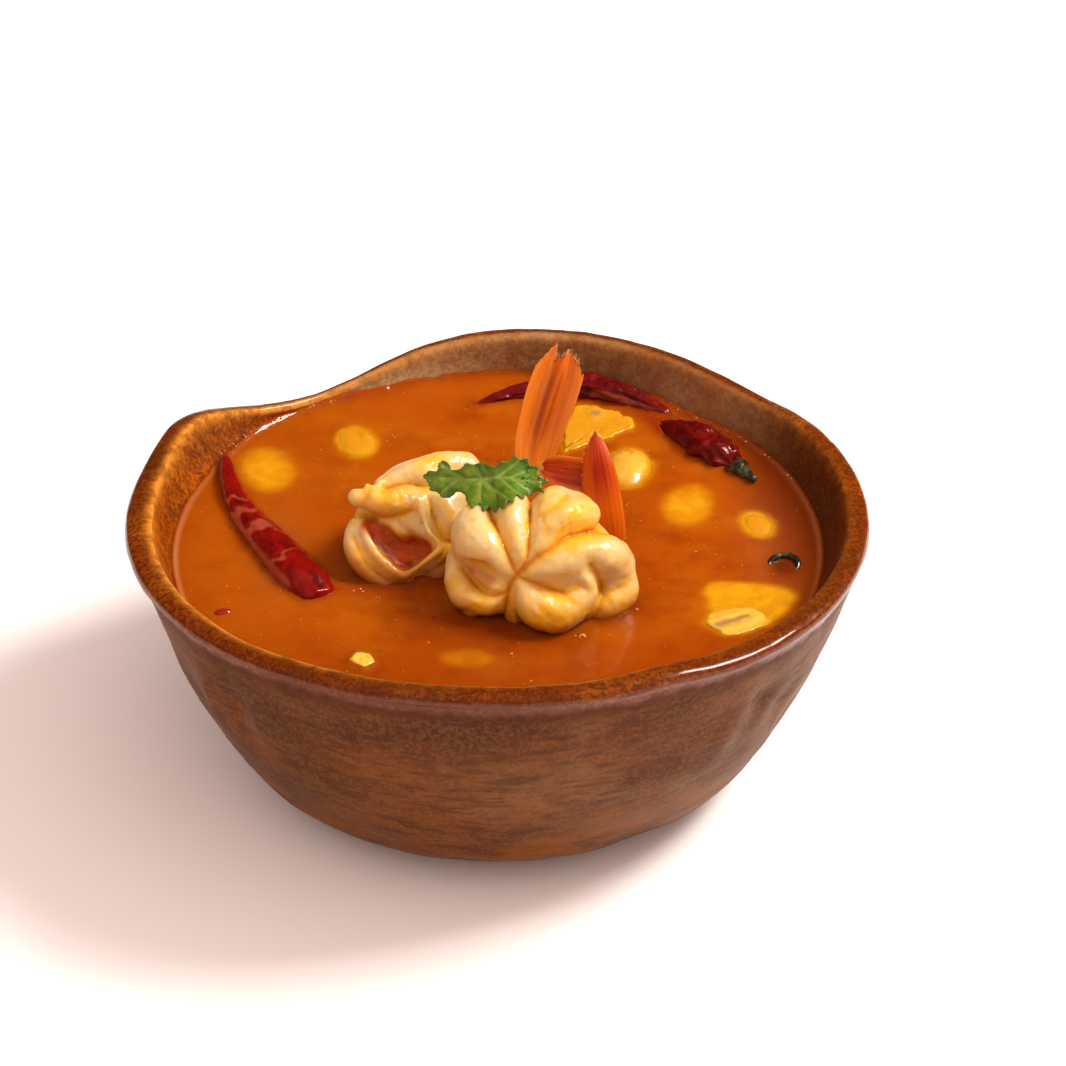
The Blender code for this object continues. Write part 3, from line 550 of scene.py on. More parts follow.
def make_cap(name, place, sizes, turn, fold, seed):
    ways, faces = ball_grid(CAP_ROWS, CAP_COLUMNS)
    towards = np.array(fold) / np.linalg.norm(fold)
    sideways = np.cross(towards, (1, 0, 0))
    one_side = ease(-0.5, 0.3, ways @ (sideways / np.linalg.norm(sideways)))
    crease = hump(np.arccos(np.clip(ways @ towards, -1, 1)) - 0.42, 0.10) * one_side
    reach = 1 - 0.05 * crease + 0.05 * unevenness(ways, 0.8, 2, seed) + 0.012 * unevenness(ways, 0.2, 2, seed)
    local = ways * reach[:, None] * sizes
    local[:, 1] *= 1 - 0.10 * np.maximum(0, ways[:, 0]) ** 2
    cap = new_piece(name, turned(local, turn) + place, faces)
    paint(cap, crease=crease, gills=0)
    return cap


def make_pad(name, outline, top, thickness, slope, seed, wave=0.35, ragged=0.35, tatter=2.2):
    """A thick soft slice: rings from the middle of its underside, round the edge, to the middle on top."""
    edge = smooth_line([*outline, outline[0]], 161)[:-1]
    tears = [unevenness(np.c_[edge, 0 * edge[:, :1]], tatter, 3, seed + k) for k in (0, 5)]
    edge = edge + ragged * np.stack(tears, axis=-1)
    middle = edge.mean(axis=0)
    profile = [(share, -thickness) for share in np.linspace(0.06, 0.86, 8)]
    profile += [(0.93, 0.25 - thickness), (0.985, 0.9 - thickness)]
    profile += [(1.0, -0.55 * thickness), (1.0, -0.3 * thickness), (0.99, -0.35), (0.965, -0.10)]
    profile += [(share, 0.0) for share in np.linspace(0.93, 0.06, 22)]
    points = []
    for share, level in profile:
        off_middle = (edge - middle) * share
        points.append(np.c_[middle + off_middle, top + level + off_middle @ slope])
    points = np.concatenate([*points, [(*middle, top - thickness), (*middle, top)]])
    points[:, 2] += wave * unevenness(points * (1, 1, 0.3), 4.2, 3, seed)
    pad = new_piece(name, points, tube_faces(len(profile), len(edge)))
    paint(pad, crease=0)
    return pad, points


def move_points(piece, points):
    """Give the piece new points, in millimetres."""
    piece.data.vertices.foreach_set("co", (points * MM).astype(np.float32).ravel())
    piece.data.update()


mushrooms = {}
for number, (name, details) in enumerate(CAPS.items()):
    mushrooms[name] = make_cap(name + "_cap", *details, seed=3.1 * number)
wedge, wedge_points = make_pad(
    "mushroom_wedge_pad", MUSHROOM_WEDGE, top=50.1, thickness=3.0, slope=(0.0, 0.03),
    seed=2, wave=0.3, ragged=0.62, tatter=2.6,
)
slice_, slice_points = make_pad(
    "mushroom_slice_pad", MUSHROOM_SLICE, top=49.52, thickness=3.0, slope=(-0.012, -0.02),
    seed=14, wave=0.12, ragged=0.6,
)
strip = make_pad("mushroom_strip_sunk", SUNK_STRIP, top=46.4, thickness=1.6, slope=(0, 0), seed=6)[0]
slab = make_pad("mushroom_slab_sunk", SUNK_SLAB, top=46.2, thickness=1.6, slope=(0, 0), seed=8)[0]
mushrooms |= {"mushroom_wedge": wedge, "mushroom_slice": slice_, "strip_sunk": strip, "slab_sunk": slab}
paint(wedge, gills=0.8 * ease(1.7, 0.4, np.linalg.norm(wedge_points[:, :2] - STALK_SCAR, axis=1)))
for sunk in (strip, slab):
    paint(sunk, gills=0)

# The slice was cut across its gills, which show as a grey seam with a pale lip on each side.
gap = np.linalg.norm(slice_points[:, None, :2] - smooth_line(GILL_LINE, 40)[None], axis=-1)
along_gill, off_gill = gap.argmin(axis=1), gap.min(axis=1)
lamellae = 0.5 + 0.5 * np.sin(along_gill * 1.7 + slice_points[:, 1] * 0.8)
gill_width = 2.3 - 0.03 * along_gill + 0.9 * unevenness(slice_points, 1.6, 3, seed=5)
paint(
    slice_,
    cut_cream=0.85 * ease(5.2, 3.2, off_gill) * ease(0.2, 0.9, off_gill),
    gills=ease(gill_width, 0.0, off_gill) * (0.70 + 0.12 * lamellae),
)
on_top = slice_points[:, 2] > SLICE_TOP
slice_points[:, 2] += on_top * (0.35 * hump(off_gill - 2.0, 0.9) + 0.22 * hump(off_gill, 0.9))
move_points(slice_, slice_points)

MUSHROOM_YELLOW = (0.570, 0.280, 0.008)
MUSHROOM_CREAM = (0.710, 0.445, 0.068)
MUSHROOM_AMBER = (0.560, 0.170, 0.004)
GILL_GREY = (0.310, 0.190, 0.095)
mushroom_skin = Finish(
    "straw mushroom", IOR=1.4, Coat_Weight=0.6, Coat_Roughness=0.05,
    Subsurface_Weight=0.5, Subsurface_Radius=(1.0, 0.5, 0.1), Subsurface_Scale=0.0018,
)
x, y, z = mushroom_skin.axes()
mottled = mushroom_skin.patches(260, 4, 0.42, 0.66)
fine = mushroom_skin.patches(900, 2, 0.45, 0.7)
pale = between(z, 0.0499, 0.0514) * (mottled * 0.35 + 0.65) + mushroom_skin.painted("cut_cream")
mushroom_skin.complete(
    layered(
        MUSHROOM_YELLOW,
        (mottled * 0.35, MUSHROOM_AMBER),
        (clipped(pale), MUSHROOM_CREAM),
        # Painted shade: darker amber down the fold pressed into each cap.
        (mushroom_skin.painted("crease") * 0.75, MUSHROOM_AMBER),
        (fine * 0.18, MUSHROOM_AMBER),
        (mushroom_skin.painted("gills"), GILL_GREY),
    ),
    roughness=mottled * 0.2 + 0.28,
    relief=(mushroom_skin.noise(1100, 3), 0.25, 0.0003),
)
for name, piece in mushrooms.items():
    mushroom_skin.cover(piece)
    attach(piece, "root")
    if "sunk" not in name:
        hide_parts(name)


# Galangal chip ---------------------------------------------------------------------------------------------
# A little block of galangal root cut by hand, floating just proud of the broth, pale and stringy inside.

CHIP_CORNERS = ((-30.8, -42.6), (-27.6, -45.2), (-25.3, -43.4), (-26.6, -40.4), (-29.4, -39.9))
CHIP_TOP, CHIP_DEPTH, SPOTS_PER_SIDE = 50.3, 2.6, 12
# From the middle of its underside round the cut edge to the middle on top: share of width and of depth.
CHIP_PROFILE = (
    (0.05, -1), (0.9, -1), (0.98, -0.93), (1, -0.8), (1, -0.25), (0.975, -0.07), (0.92, 0), (0.7, 0),
    (0.4, 0), (0.06, 0),
)
corners = np.array(CHIP_CORNERS)
to_next = np.roll(corners, -1, axis=0) - corners
edge = (corners[:, None] + to_next[:, None] * np.linspace(0.04, 0.96, SPOTS_PER_SIDE)[:, None]).reshape(-1, 2)
middle = edge.mean(axis=0)
level = np.zeros((len(edge), 1))
points = []
for share, low in CHIP_PROFILE:
    points.append(np.c_[middle + (edge - middle) * share, level + CHIP_TOP + low * CHIP_DEPTH])
points = np.concatenate([*points, [(*middle, CHIP_TOP - CHIP_DEPTH), (*middle, CHIP_TOP)]])
points += 0.12 * np.stack([unevenness(points, 1.3, 2, seed) for seed in (1, 6, 11)], axis=-1)
chip = new_piece("galangal_cut_block", points, tube_faces(len(CHIP_PROFILE), len(edge)))

CHIP_PALE = (0.840, 0.520, 0.080)
CHIP_STAIN = (0.720, 0.300, 0.020)
galangal = Finish("galangal", Subsurface_Weight=0.3, Subsurface_Scale=0.001, Coat_Weight=0.4)
strings = galangal.patches(900, 3, 0.4, 0.65, (1, 0.15, 1))
stain = galangal.patches(300, 2, 0.45, 0.65)
galangal.complete(
    layered(CHIP_PALE, (strings * 0.4, CHIP_STAIN), (stain * 0.5, CHIP_STAIN)),
    roughness=stain * 0.25 + 0.3,
    relief=(strings, 0.3, 0.0002),
)
galangal.cover(chip)
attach(chip, "root")
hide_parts("galangal_chip")


# Dried chillies --------------------------------------------------------------------------------------------
# Three whole dried chillies, softened and puffed by the broth, with papery skin that stays creased and shiny.
# Each pod is a tube swept along its bend, folded lengthwise; the right one keeps its calyx and stalk stub.

POD_RINGS, POD_SIDES, POD_FLATTEN = 230, 64, 0.86
# Middle lines with the radius at each point, then how deep the skin is creased and how bright it is.
PODS = {
    "chilli_left": (
        (
            (-60.6, 33.4, 51.8, 0.9), (-58.6, 22.5, 50.6, 2.3), (-55.4, 13.0, 49.9, 3.2),
            (-50.4, 3.0, 49.7, 4.2), (-45.2, -6.2, 49.7, 4.8), (-41.0, -13.4, 49.5, 4.8),
            (-37.0, -20.2, 47.7, 4.0),
        ),
        0.12,
        0.6,
    ),
    "chilli_rear": (
        (
            (-5.0, 56.8, 49.7, 0.5), (2.0, 60.2, 50.0, 2.0), (10.0, 62.4, 50.5, 2.9),
            (20.0, 62.6, 51.2, 3.3), (28.5, 59.6, 50.9, 3.0), (35.0, 55.9, 50.0, 2.2),
            (40.0, 52.4, 49.4, 0.8),
        ),
        0.34,
        0.08,
    ),
    "chilli_right": (
        (
            (29.6, 55.4, 46.6, 0.5), (33.0, 52.6, 47.0, 1.5), (36.8, 49.2, 47.7, 2.3),
            (40.2, 46.0, 48.9, 3.3), (44.0, 42.0, 49.7, 4.3), (47.8, 37.0, 50.0, 4.7),
            (50.8, 32.8, 50.0, 4.0), (52.4, 30.2, 49.9, 2.4),
        ),
        0.34,
        0.08,
    ),
}
CALYX_RINGS, CALYX_SIDES = 70, 60
CALYX = (
    (52.6, 30.2, 49.9, 2.2), (53.6, 28.7, 50.0, 2.8), (54.6, 27.1, 50.2, 2.4), (55.8, 25.2, 50.5, 1.3),
    (56.8, 23.6, 50.8, 0.9),
)
# Broth lies over the left pod in these bands: share of its length, and half-width.
BROTH_BANDS = ((0.30, 0.018), (0.40, 0.030), (0.52, 0.034), (0.74, 0.013))


def swept(route, rings, sides):
    """Rings round a bent, tapering line: its spots and radii, two ways out, the turn and the length."""
    line = smooth_line(route, rings)
    along = np.gradient(line[:, :3], axis=0)
    side = np.cross(along, (0, 0, 1))
    side /= np.linalg.norm(side, axis=1, keepdims=True)
    over = np.cross(side, along / np.linalg.norm(along, axis=1, keepdims=True))
    length = np.append(0, np.cumsum(np.linalg.norm(np.diff(line[:, :3], axis=0), axis=1)))
    line, side, over, length = (np.repeat(values, sides, axis=0) for values in (line, side, over, length))
    angle = np.tile(2 * np.pi * np.arange(sides) / sides, rings)
    side, over = side * np.cos(angle)[:, None], over * np.sin(angle)[:, None]
    return line[:, :3], line[:, 3], side, over, angle, length


def broth_on_pod(name, share, angle):
    """How much broth lies on the skin, in bands across the pod and in runs along it."""
    film = 0 * share
    if name == "chilli_left":
        wander = 0.04 * unevenness(on_circle(1, angle, share * 9), 0.8, 2) + 0.03 * np.cos(angle + 0.8)
        film += sum(hump(share + wander - where, half_width) for where, half_width in BROTH_BANDS)
        film *= 0.45 + 0.55 * ease(-0.2, 0.9, np.cos(angle - 0.6))
        lying_low = ease(0.34, 0.46, share) * ease(0.95, 0.85, share)
        film += 0.75 * ease(0.66, 0.97, np.cos(angle - 0.05)) * lying_low
        film += 0.45 * ease(0.85, 1, np.cos(angle - 2.9)) * ease(0.35, 0.5, share)
    if name == "chilli_rear":
        film += 0.6 * ease(0.75, 0.99, np.cos(angle - 0.2)) * ease(0.5, 0.6, share)
    return ease(0.46, 0.70, film)


def make_pod(name, route, crease, ripe, seed):
    spot, radius, side, over, angle, far = swept(route, POD_RINGS, POD_SIDES)
    fold = 1 - np.abs(unevenness(on_circle(1.5, angle, far / 11), 0.9, 2, seed)) * 2.4
    cross_folds = unevenness(on_circle(1.2, angle, far / 3.2), 1.0, 2, seed + 4)
    fine = unevenness(on_circle(2.6, angle, far / 3.0), 0.7, 2, seed + 9)
    ends = np.minimum(ease(0, 1.4, far), ease(0, 2.0, far[-1] - far)) * 0.75 + 0.25
    radius = np.maximum(radius, 0.25) * ends
    radius *= 1 + crease * (0.45 * fold - 0.25 + 0.55 * cross_folds + 0.22 * fine)
    points = spot + (side + over * POD_FLATTEN) * radius[:, None]
    tip = spot[0] - 0.3 * (spot[POD_SIDES] - spot[0])
    faces = tube_faces(POD_RINGS, POD_SIDES, flip=True)
    pod = new_piece(name + "_pod", np.concatenate([points, [tip, spot[-1]]]), faces)
    film = broth_on_pod(name, far / far[-1], angle)
    paint(pod, furrow=np.append(ease(0.1, -0.9, fold), (0, 0)), film=np.append(film, (0, 0)), ripe=ripe)
    return pod


pods = {name: make_pod(name, *details, seed=5.3 * k + 1) for k, (name, details) in enumerate(PODS.items())}

POD_CRIMSON = (0.095, 0.0010, 0.0012)
POD_BRIGHT = (0.260, 0.005, 0.002)
POD_DARK = (0.035, 0.001, 0.001)
FILM_MAUVE = (0.360, 0.085, 0.042)
pod_skin = Finish(
    "dried chilli", IOR=1.36, Specular_IOR_Level=0.25, Coat_Weight=0.65, Coat_Roughness=0.04,
    Subsurface_Weight=0.1, Subsurface_Scale=0.0008,
)
clouds = pod_skin.patches(170, 4, 0.40, 0.66)
pod_skin.complete(
    layered(
        POD_CRIMSON,
        (clipped(clouds * 0.3 + pod_skin.painted("ripe")), POD_BRIGHT),
        # Painted shade: darker down the furrows of the creased skin.
        (pod_skin.painted("furrow") * 0.6, POD_DARK),
        (pod_skin.specks(900, 0.22, 0.25) * 0.35, POD_DARK),
        (pod_skin.painted("film") * 0.72, FILM_MAUVE),
    ),
    roughness=clouds * 0.14 + 0.26,
    relief=(pod_skin.noise(700, 4, 0.6), 0.34, 0.0004),
)
for name, pod in pods.items():
    pod_skin.cover(pod)
    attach(pod, "root")
    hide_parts(name)

# Calyx and stalk stub: a few short points of leaf clasp the pod, dark green and wet.
spot, radius, side, over, angle, far = swept(CALYX, CALYX_RINGS, CALYX_SIDES)
sepals = np.maximum(0, np.cos(2.5 * angle)) ** 0.5
roughened = 1 + 0.14 * unevenness(on_circle(3, angle, far), 0.8, 2, 2)
radius = radius * (0.80 + 0.28 * sepals * ease(3.0, 0.0, far)) * roughened
back = (1.8 * (sepals - 0.3) * ease(1.2, 0, far))[:, None] * (spot[0] - spot[8 * CALYX_SIDES]) / 1.4
end = spot[-1] + 0.15 * (spot[-1] - spot[-9 * CALYX_SIDES])
points = np.concatenate([spot + back + (side + over) * radius[:, None], [spot[0], end]])
calyx = new_piece("chilli_calyx", points, tube_faces(CALYX_RINGS, CALYX_SIDES, flip=True))

CALYX_GREEN = (0.014, 0.014, 0.005)
CALYX_OLIVE = (0.070, 0.058, 0.018)
stalk = Finish("chilli stalk", Coat_Weight=1.0, Coat_Roughness=0.05, IOR=1.5)
ribs = stalk.patches(700, 3, 0.45, 0.65, (1, 0.4, 1))
stalk.complete(
    layered(CALYX_GREEN, (ribs, CALYX_OLIVE)),
    roughness=ribs * 0.2 + 0.22,
    relief=(ribs, 0.3, 0.0003),
)
stalk.cover(calyx)
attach(calyx, "root")
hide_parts("chilli_right_cap")


# Prawns ----------------------------------------------------------------------------------------------------
# Two big prawns, peeled down to the tail fan and slit along the back, so the meat curled into a ball as it
# cooked. Each ball is strands and lobes of flesh grown together, sampled finely and skinned in one piece.

# Each ball is shaped in a frame that leans back: across, up, and out towards the front.
LEAN = math.radians(34)
FLESH_GRAIN, SKIN_ROUNDS = 0.36, 4
LOBE_FILLET, STRAND_FILLET, RIDGE_FILLET = 2.0, 3.2, 0.9
CREASE_BITE, FAR_OFF = 0.6, 5.0
# The middle of a ball in the dish, and where its folds are gathered (across, up).
RIGHT_PLACE = (9.0, -15.9, 55.2)
RIGHT_GATHERED = (-5.0, -2.2)
# Strands: points (across, up, out) of a line through the flesh, each with its thickness.
RIGHT_STRANDS = (
    ((-6.2, -1.2, 9.2, 2.0), (-9.2, 2.6, 9.8, 4.4), (-12.6, 5.0, 7.6, 6.0), (-13.4, 7.0, 3.0, 5.0)),
    ((-17.0, 0.4, 2.0, 3.2), (-16.2, -4.6, 5.2, 3.7), (-13.2, -7.2, 7.2, 3.7), (-9.2, -6.4, 8.4, 3.1),
     (-6.6, -4.2, 9.0, 2.0)),
    ((-4.9, -0.8, 9.6, 1.3), (-5.0, 4.2, 10.6, 2.5), (-5.6, 9.0, 8.8, 3.7), (-5.6, 12.0, 4.5, 4.2)),
    ((-3.4, 0.8, 9.8, 1.5), (0.2, 5.6, 10.4, 3.4), (4.2, 9.2, 8.6, 5.1), (8.2, 9.8, 5.6, 4.6)),
    ((1.0, 11.5, 6.4, 4.0), (4.0, 12.4, 3.5, 4.4), (7.0, 10.5, 1.0, 4.4)),
    ((-3.6, -1.7, 10.2, 1.7), (1.4, 0.4, 12.2, 3.5), (6.6, 1.8, 11.4, 4.5), (12.4, 2.2, 7.8, 5.7),
     (14.6, 0.6, 3.6, 4.8)),
    ((-4.6, -4.4, 10.0, 1.9), (-1.6, -8.2, 10.8, 4.5), (2.8, -9.6, 10.4, 5.0), (7.2, -7.0, 9.6, 4.2),
     (8.8, -3.6, 9.4, 2.8)),
    ((-6.8, -4.6, 8.4, 1.0), (-7.0, -9.4, 7.0, 2.2), (-4.4, -13.0, 5.6, 2.4), (-0.5, -14.0, 4.0, 2.0)),
    ((8.4, -10.6, 4.6, 3.4), (12.8, -8.7, 4.4, 4.3), (16.4, -6.4, 3.2, 3.6)),
    ((-13.4, 8.8, 4.6, 3.6), (-8.4, 10.6, 3.4, 3.6)),
    ((15.4, -1.6, 3.6, 3.6), (16.4, -4.2, 2.8, 3.5)),
    ((-15.8, -8.6, 3.6, 1.5), (-14.6, -10.4, 4.4, 1.2)),
)
# Lobes: rounded masses of flesh, each with its middle and half-sizes.
RIGHT_LOBES = (
    ((0.5, -0.5, -3.4), (16.5, 13.3, 18.2)),
    ((-9.5, -2.0, -4.0), (8.0, 8.5, 7.5)),
    ((3.0, 4.5, -11.5), (8.8, 6.8, 5.8)),
    ((8.5, -4.5, -10.5), (7.8, 6.3, 5.8)),
    ((-4.5, 0.0, -12.0), (5.5, 8.0, 5.0)),
)
# Hollows scooped into the flesh, given as strands, and thin ridges that stand on it.
RIGHT_HOLLOWS = (((-15.4, 0.2, 10.4, 1.2), (-13.4, -0.6, 11.8, 1.9), (-11.0, -1.6, 12.6, 1.3)),)
RIGHT_RIDGES = (
    ((-15.4, -1.6, 7.4, 0.7), (-13.2, -2.6, 9.4, 1.0), (-10.6, -4.4, 10.6, 1.0), (-8.0, -5.6, 10.6, 0.8)),
    ((4.6, -2.0, 11.8, 1.2), (7.8, -2.0, 12.2, 1.9), (9.9, -3.7, 11.4, 2.1), (10.2, -6.6, 9.8, 1.9),
     (8.4, -9.2, 9.2, 1.4)),
)
# Creases: lines (across, up) over the front of the ball, then how deep and how wide each one is.
RIGHT_CREASES = (
    (((-5.0, -2.2), (-6.2, 0.7), (-8.0, 4.8), (-9.1, 7.5), (-10.2, 10.2), (-11.0, 12.6)), 2.6, 1.15),
    (((-5.0, -2.2), (-3.0, 1.2), (-2.5, 5.4), (-2.3, 9.5), (-1.9, 14.5)), 2.3, 1.0),
    (((-5.0, -2.2), (-2.1, 0.9), (1.9, 3.4), (5.0, 5.7), (9.0, 6.8), (13.2, 7.3), (16.4, 6.6)), 3.0, 1.3),
    (((-0.4, 10.2), (2.8, 12.0), (5.6, 14.8)), 1.2, 1.0),
    (((2.4, 5.2), (5.4, 8.4), (7.4, 11.6)), 0.6, 1.0),
    (((-5.0, -2.2), (-1.7, -3.5), (1.4, -4.7), (4.4, -5.6)), 2.5, 1.15),
    (((4.4, -5.6), (6.6, -5.2), (7.8, -4.4)), 1.0, 1.3),
    (((10.2, 0.2), (11.8, -2.0), (12.6, -5.0), (12.4, -7.9), (10.8, -11.0), (8.6, -13.4)), 1.9, 1.1),
    (((12.0, -5.4), (14.2, -5.6), (17.4, -4.4)), 1.1, 1.0),
    (((9.0, 2.2), (11.2, 1.2), (11.6, -1.4)), 0.5, 1.2),
    (((-16.4, -0.6), (-13.4, -4.3), (-10.6, -6.2), (-7.4, -5.5), (-5.0, -2.4)), 2.2, 0.9),
    (((-5.0, -2.2), (-6.6, -4.2), (-7.4, -8.4), (-8.0, -11.0), (-8.8, -13.6)), 2.8, 1.2),
    (((-5.4, -4.6), (-5.6, -8.6), (-3.6, -12.6), (0.4, -15.6)), 1.5, 0.8),
    (((-16.6, -9.2), (-13.8, -9.6), (-12.4, -11.2)), 1.3, 0.8),
    (((-12.8, 8.6), (-10.6, 5.0), (-11.4, 1.6)), 0.5, 1.2),
    (((-3.9, -5.4), (-0.6, -8.0), (1.0, -11.6)), 0.5, 1.3),
)
# Stains of turmeric and chilli oil: strength, place (across, up), width and height.
RIGHT_GOLD = (
    (1, 8, 9, 7, 6), (0.6, -12, -3, 4, 3), (0.8, 2, -12.4, 6, 3.4), (0.7, 3.4, -7.4, 4.5, 2.4),
    (0.8, -13, -9.4, 3.5, 2.2),
)
LEFT_PLACE = (-18.5, -2.9, 55.5)
LEFT_GATHERED = (-3.0, -2.0)
LEFT_STRANDS = (
    ((-11.2, 6.8, 5.2, 2.3), (-8.8, 6.5, 5.9, 2.4), (-6.4, 6.2, 6.3, 3.3), (-2.6, 6.0, 6.2, 3.6),
     (1.2, 5.2, 4.6, 3.3)),
    ((-5.4, 9.2, 2.4, 2.4), (0.6, 11.0, 1.2, 3.3), (6.2, 13.6, -1.0, 3.3), (11.2, 14.0, -3.4, 2.7)),
    ((5.2, 6.4, 3.0, 3.0), (7.6, 2.4, 3.8, 3.5), (7.8, -2.6, 3.2, 3.4), (6.8, -7.2, 2.4, 3.2)),
    ((-11.2, 1.6, 3.8, 2.1), (-11.6, -3.0, 4.4, 3.0), (-9.2, -7.0, 5.0, 3.2), (-5.2, -10.4, 5.0, 2.8)),
    ((-5.0, -9.6, 4.4, 2.6), (-1.0, -11.6, 3.4, 2.9), (3.0, -11.0, 2.0, 2.6)),
    ((4.6, -9.0, 2.6, 2.4), (6.2, -11.4, 1.4, 2.2)),
    ((14.0, 10.4, -5.6, 2.4), (20.6, 8.6, -6.6, 2.3)),
)
LEFT_LOBES = (
    ((-1.0, 0.6, -3.5), (11.6, 10.3, 10.2)),
    ((2.0, 9.0, -1.6), (9.5, 5.6, 5.8)),
    ((7.4, 7.6, 0.0), (5.2, 5.0, 5.0)),
    ((11.2, 11.6, -4.6), (4.0, 3.6, 4.1)),
    ((2.0, 4.0, -10.0), (7.8, 5.8, 4.8)),
    ((-6.0, -4.0, -8.0), (5.0, 6.0, 4.5)),
)
LEFT_HOLLOWS = (
    ((-8.2, 1.0, 7.4, 1.6), (-5.6, -0.8, 7.2, 2.9), (-1.8, -2.8, 6.8, 3.6), (1.4, -4.2, 6.6, 3.0)),
    ((-4.8, -3.0, 6.8, 1.7), (-1.6, -6.0, 6.6, 2.3)),
)
LEFT_RIDGES = (
    ((1.4, 6.8, 6.6, 0.9), (2.7, 3.6, 7.6, 0.8), (4.1, -0.4, 7.6, 0.8), (6.3, -3.6, 6.8, 0.9),
     (2.3, -7.4, 7.4, 0.9), (-1.8, -9.6, 7.2, 1.0), (-5.8, -6.8, 7.0, 1.15), (-8.9, -3.0, 6.6, 1.2),
     (-10.4, 0.8, 5.4, 1.1)),
    ((3.0, 6.4, 6.2, 0.8), (4.5, 3.2, 6.8, 0.7), (5.9, -0.6, 6.8, 0.7), (8.2, -4.0, 5.6, 0.8),
     (3.5, -9.1, 6.2, 0.7), (-1.4, -11.2, 6.4, 0.6)),
    ((-4.8, 2.8, 4.4, 1.3), (-2.4, 0.8, 4.6, 1.9), (-0.8, -1.2, 3.8, 1.3)),
    ((-9.0, 7.8, 6.2, 1.3), (-9.3, 9.4, 5.6, 1.0)),
    ((-6.9, 8.4, 5.8, 1.3), (-6.4, 10.2, 5.0, 0.9)),
)
LEFT_CREASES = (
    (((-13.4, 4.0), (-10.0, 3.4), (-6.4, 2.8), (-3.0, 3.2), (0.2, 4.2)), 2.0, 1.0),
    (((-9.9, 10.0), (-9.7, 7.0), (-10.1, 4.0)), 0.7, 0.9),
    (((-5.4, 8.8), (-0.9, 9.9), (3.2, 9.3), (7.6, 9.9), (12.2, 10.6)), 2.2, 1.0),
    (((4.0, 6.6), (5.0, 2.4), (6.8, -1.4), (9.6, -3.4)), 1.8, 0.9),
    (((-2.6, 8.8), (-2.0, 6.4), (-1.4, 4.4)), 1.0, 0.8),
    (((0.0, 8.6), (1.0, 6.4), (1.3, 4.0)), 0.9, 0.8),
    (((-12.0, -1.6), (-9.6, -6.6), (-6.2, -9.8), (-2.2, -12.4)), 1.8, 0.9),
    (((2.2, -10.4), (4.4, -8.6), (8.4, -6.6)), 1.7, 0.9),
    (((3.8, -9.2), (3.6, -13.0)), 1.4, 0.8),
    (((5.0, 14.4), (9.0, 13.2), (12.6, 12.8)), 1.0, 1.0),
)
LEFT_GOLD = ((1, -6, 6, 6, 3.4), (0.7, 8, -2, 4, 5), (0.7, 6, 15, 4, 2.5))
# Painted shade deep in the hollows: in a dimple of the right ball, and in the mouth that the left one forms.
DIMPLE = ((-14.4, -0.6), (-12.6, -1.8), (-10.8, -3.0))
MOUTH = ((-8.4, 0.2), (-5.0, -1.6), (-1.6, -3.0), (2.2, -4.0))
LOWER_MOUTH = ((-4.6, -3.0), (-1.6, -6.2))


def off_segment(points, start, end):
    """Distance from each point to a segment, and the share of the segment's length at the nearest spot."""
    span = end - start
    offset = points - start
    t = np.clip(offset @ span / (span @ span), 0, 1)
    return np.sqrt(((offset - t[..., None] * span) ** 2).sum(-1)), t


def strand_distance(points, strand):
    """Distance from each point to a strand's skin, or FAR_OFF; the strand swells and tapers on its way."""
    line = smooth_line(strand, 6 * (len(strand) - 1) + 1).astype(np.float32)
    reach = FAR_OFF + line[:, 3].max()
    low, high = line[:, :3].min(axis=0) - reach, line[:, :3].max(axis=0) + reach
    close = ((points > low) & (points < high)).all(axis=-1)
    near_points = points[close]
    nearest = np.full(len(near_points), FAR_OFF, np.float32)
    for start, end in zip(line, line[1:]):
        gap, t = off_segment(near_points, start[:3], end[:3])
        np.minimum(nearest, gap - (start[3] + t * (end[3] - start[3])), out=nearest)
    distance = np.full(points.shape[:-1], FAR_OFF, np.float32)
    distance[close] = nearest
    return distance


def lobe_distance(points, lobe):
    """Rough distance from each point to an ellipsoid."""
    centre, sizes = (np.array(part, np.float32) for part in lobe)
    scaled = np.sqrt((((points - centre) / sizes) ** 2).sum(-1))
    steep = np.sqrt((((points - centre) / sizes**2) ** 2).sum(-1))
    return scaled * (scaled - 1) / np.maximum(steep, 1e-6)


def grown_together(first, second, width):
    """Union of two fields, with a fillet of the given width where they meet."""
    share = np.clip(0.5 + 0.5 * (second - first) / width, 0, 1)
    return second + (first - second) * share - width * share * (1 - share)


def flat_distance(points, line):
    """Distance, seen from the front, from each point to a line of (across, up) points."""
    fine = smooth_line(line, 7 * (len(line) - 1) + 1).astype(np.float32)
    nearest = np.full(points.shape[:-1], np.inf, np.float32)
    for start, end in zip(fine, fine[1:]):
        np.minimum(nearest, off_segment(points[..., :2], start, end)[0], out=nearest)
    return nearest


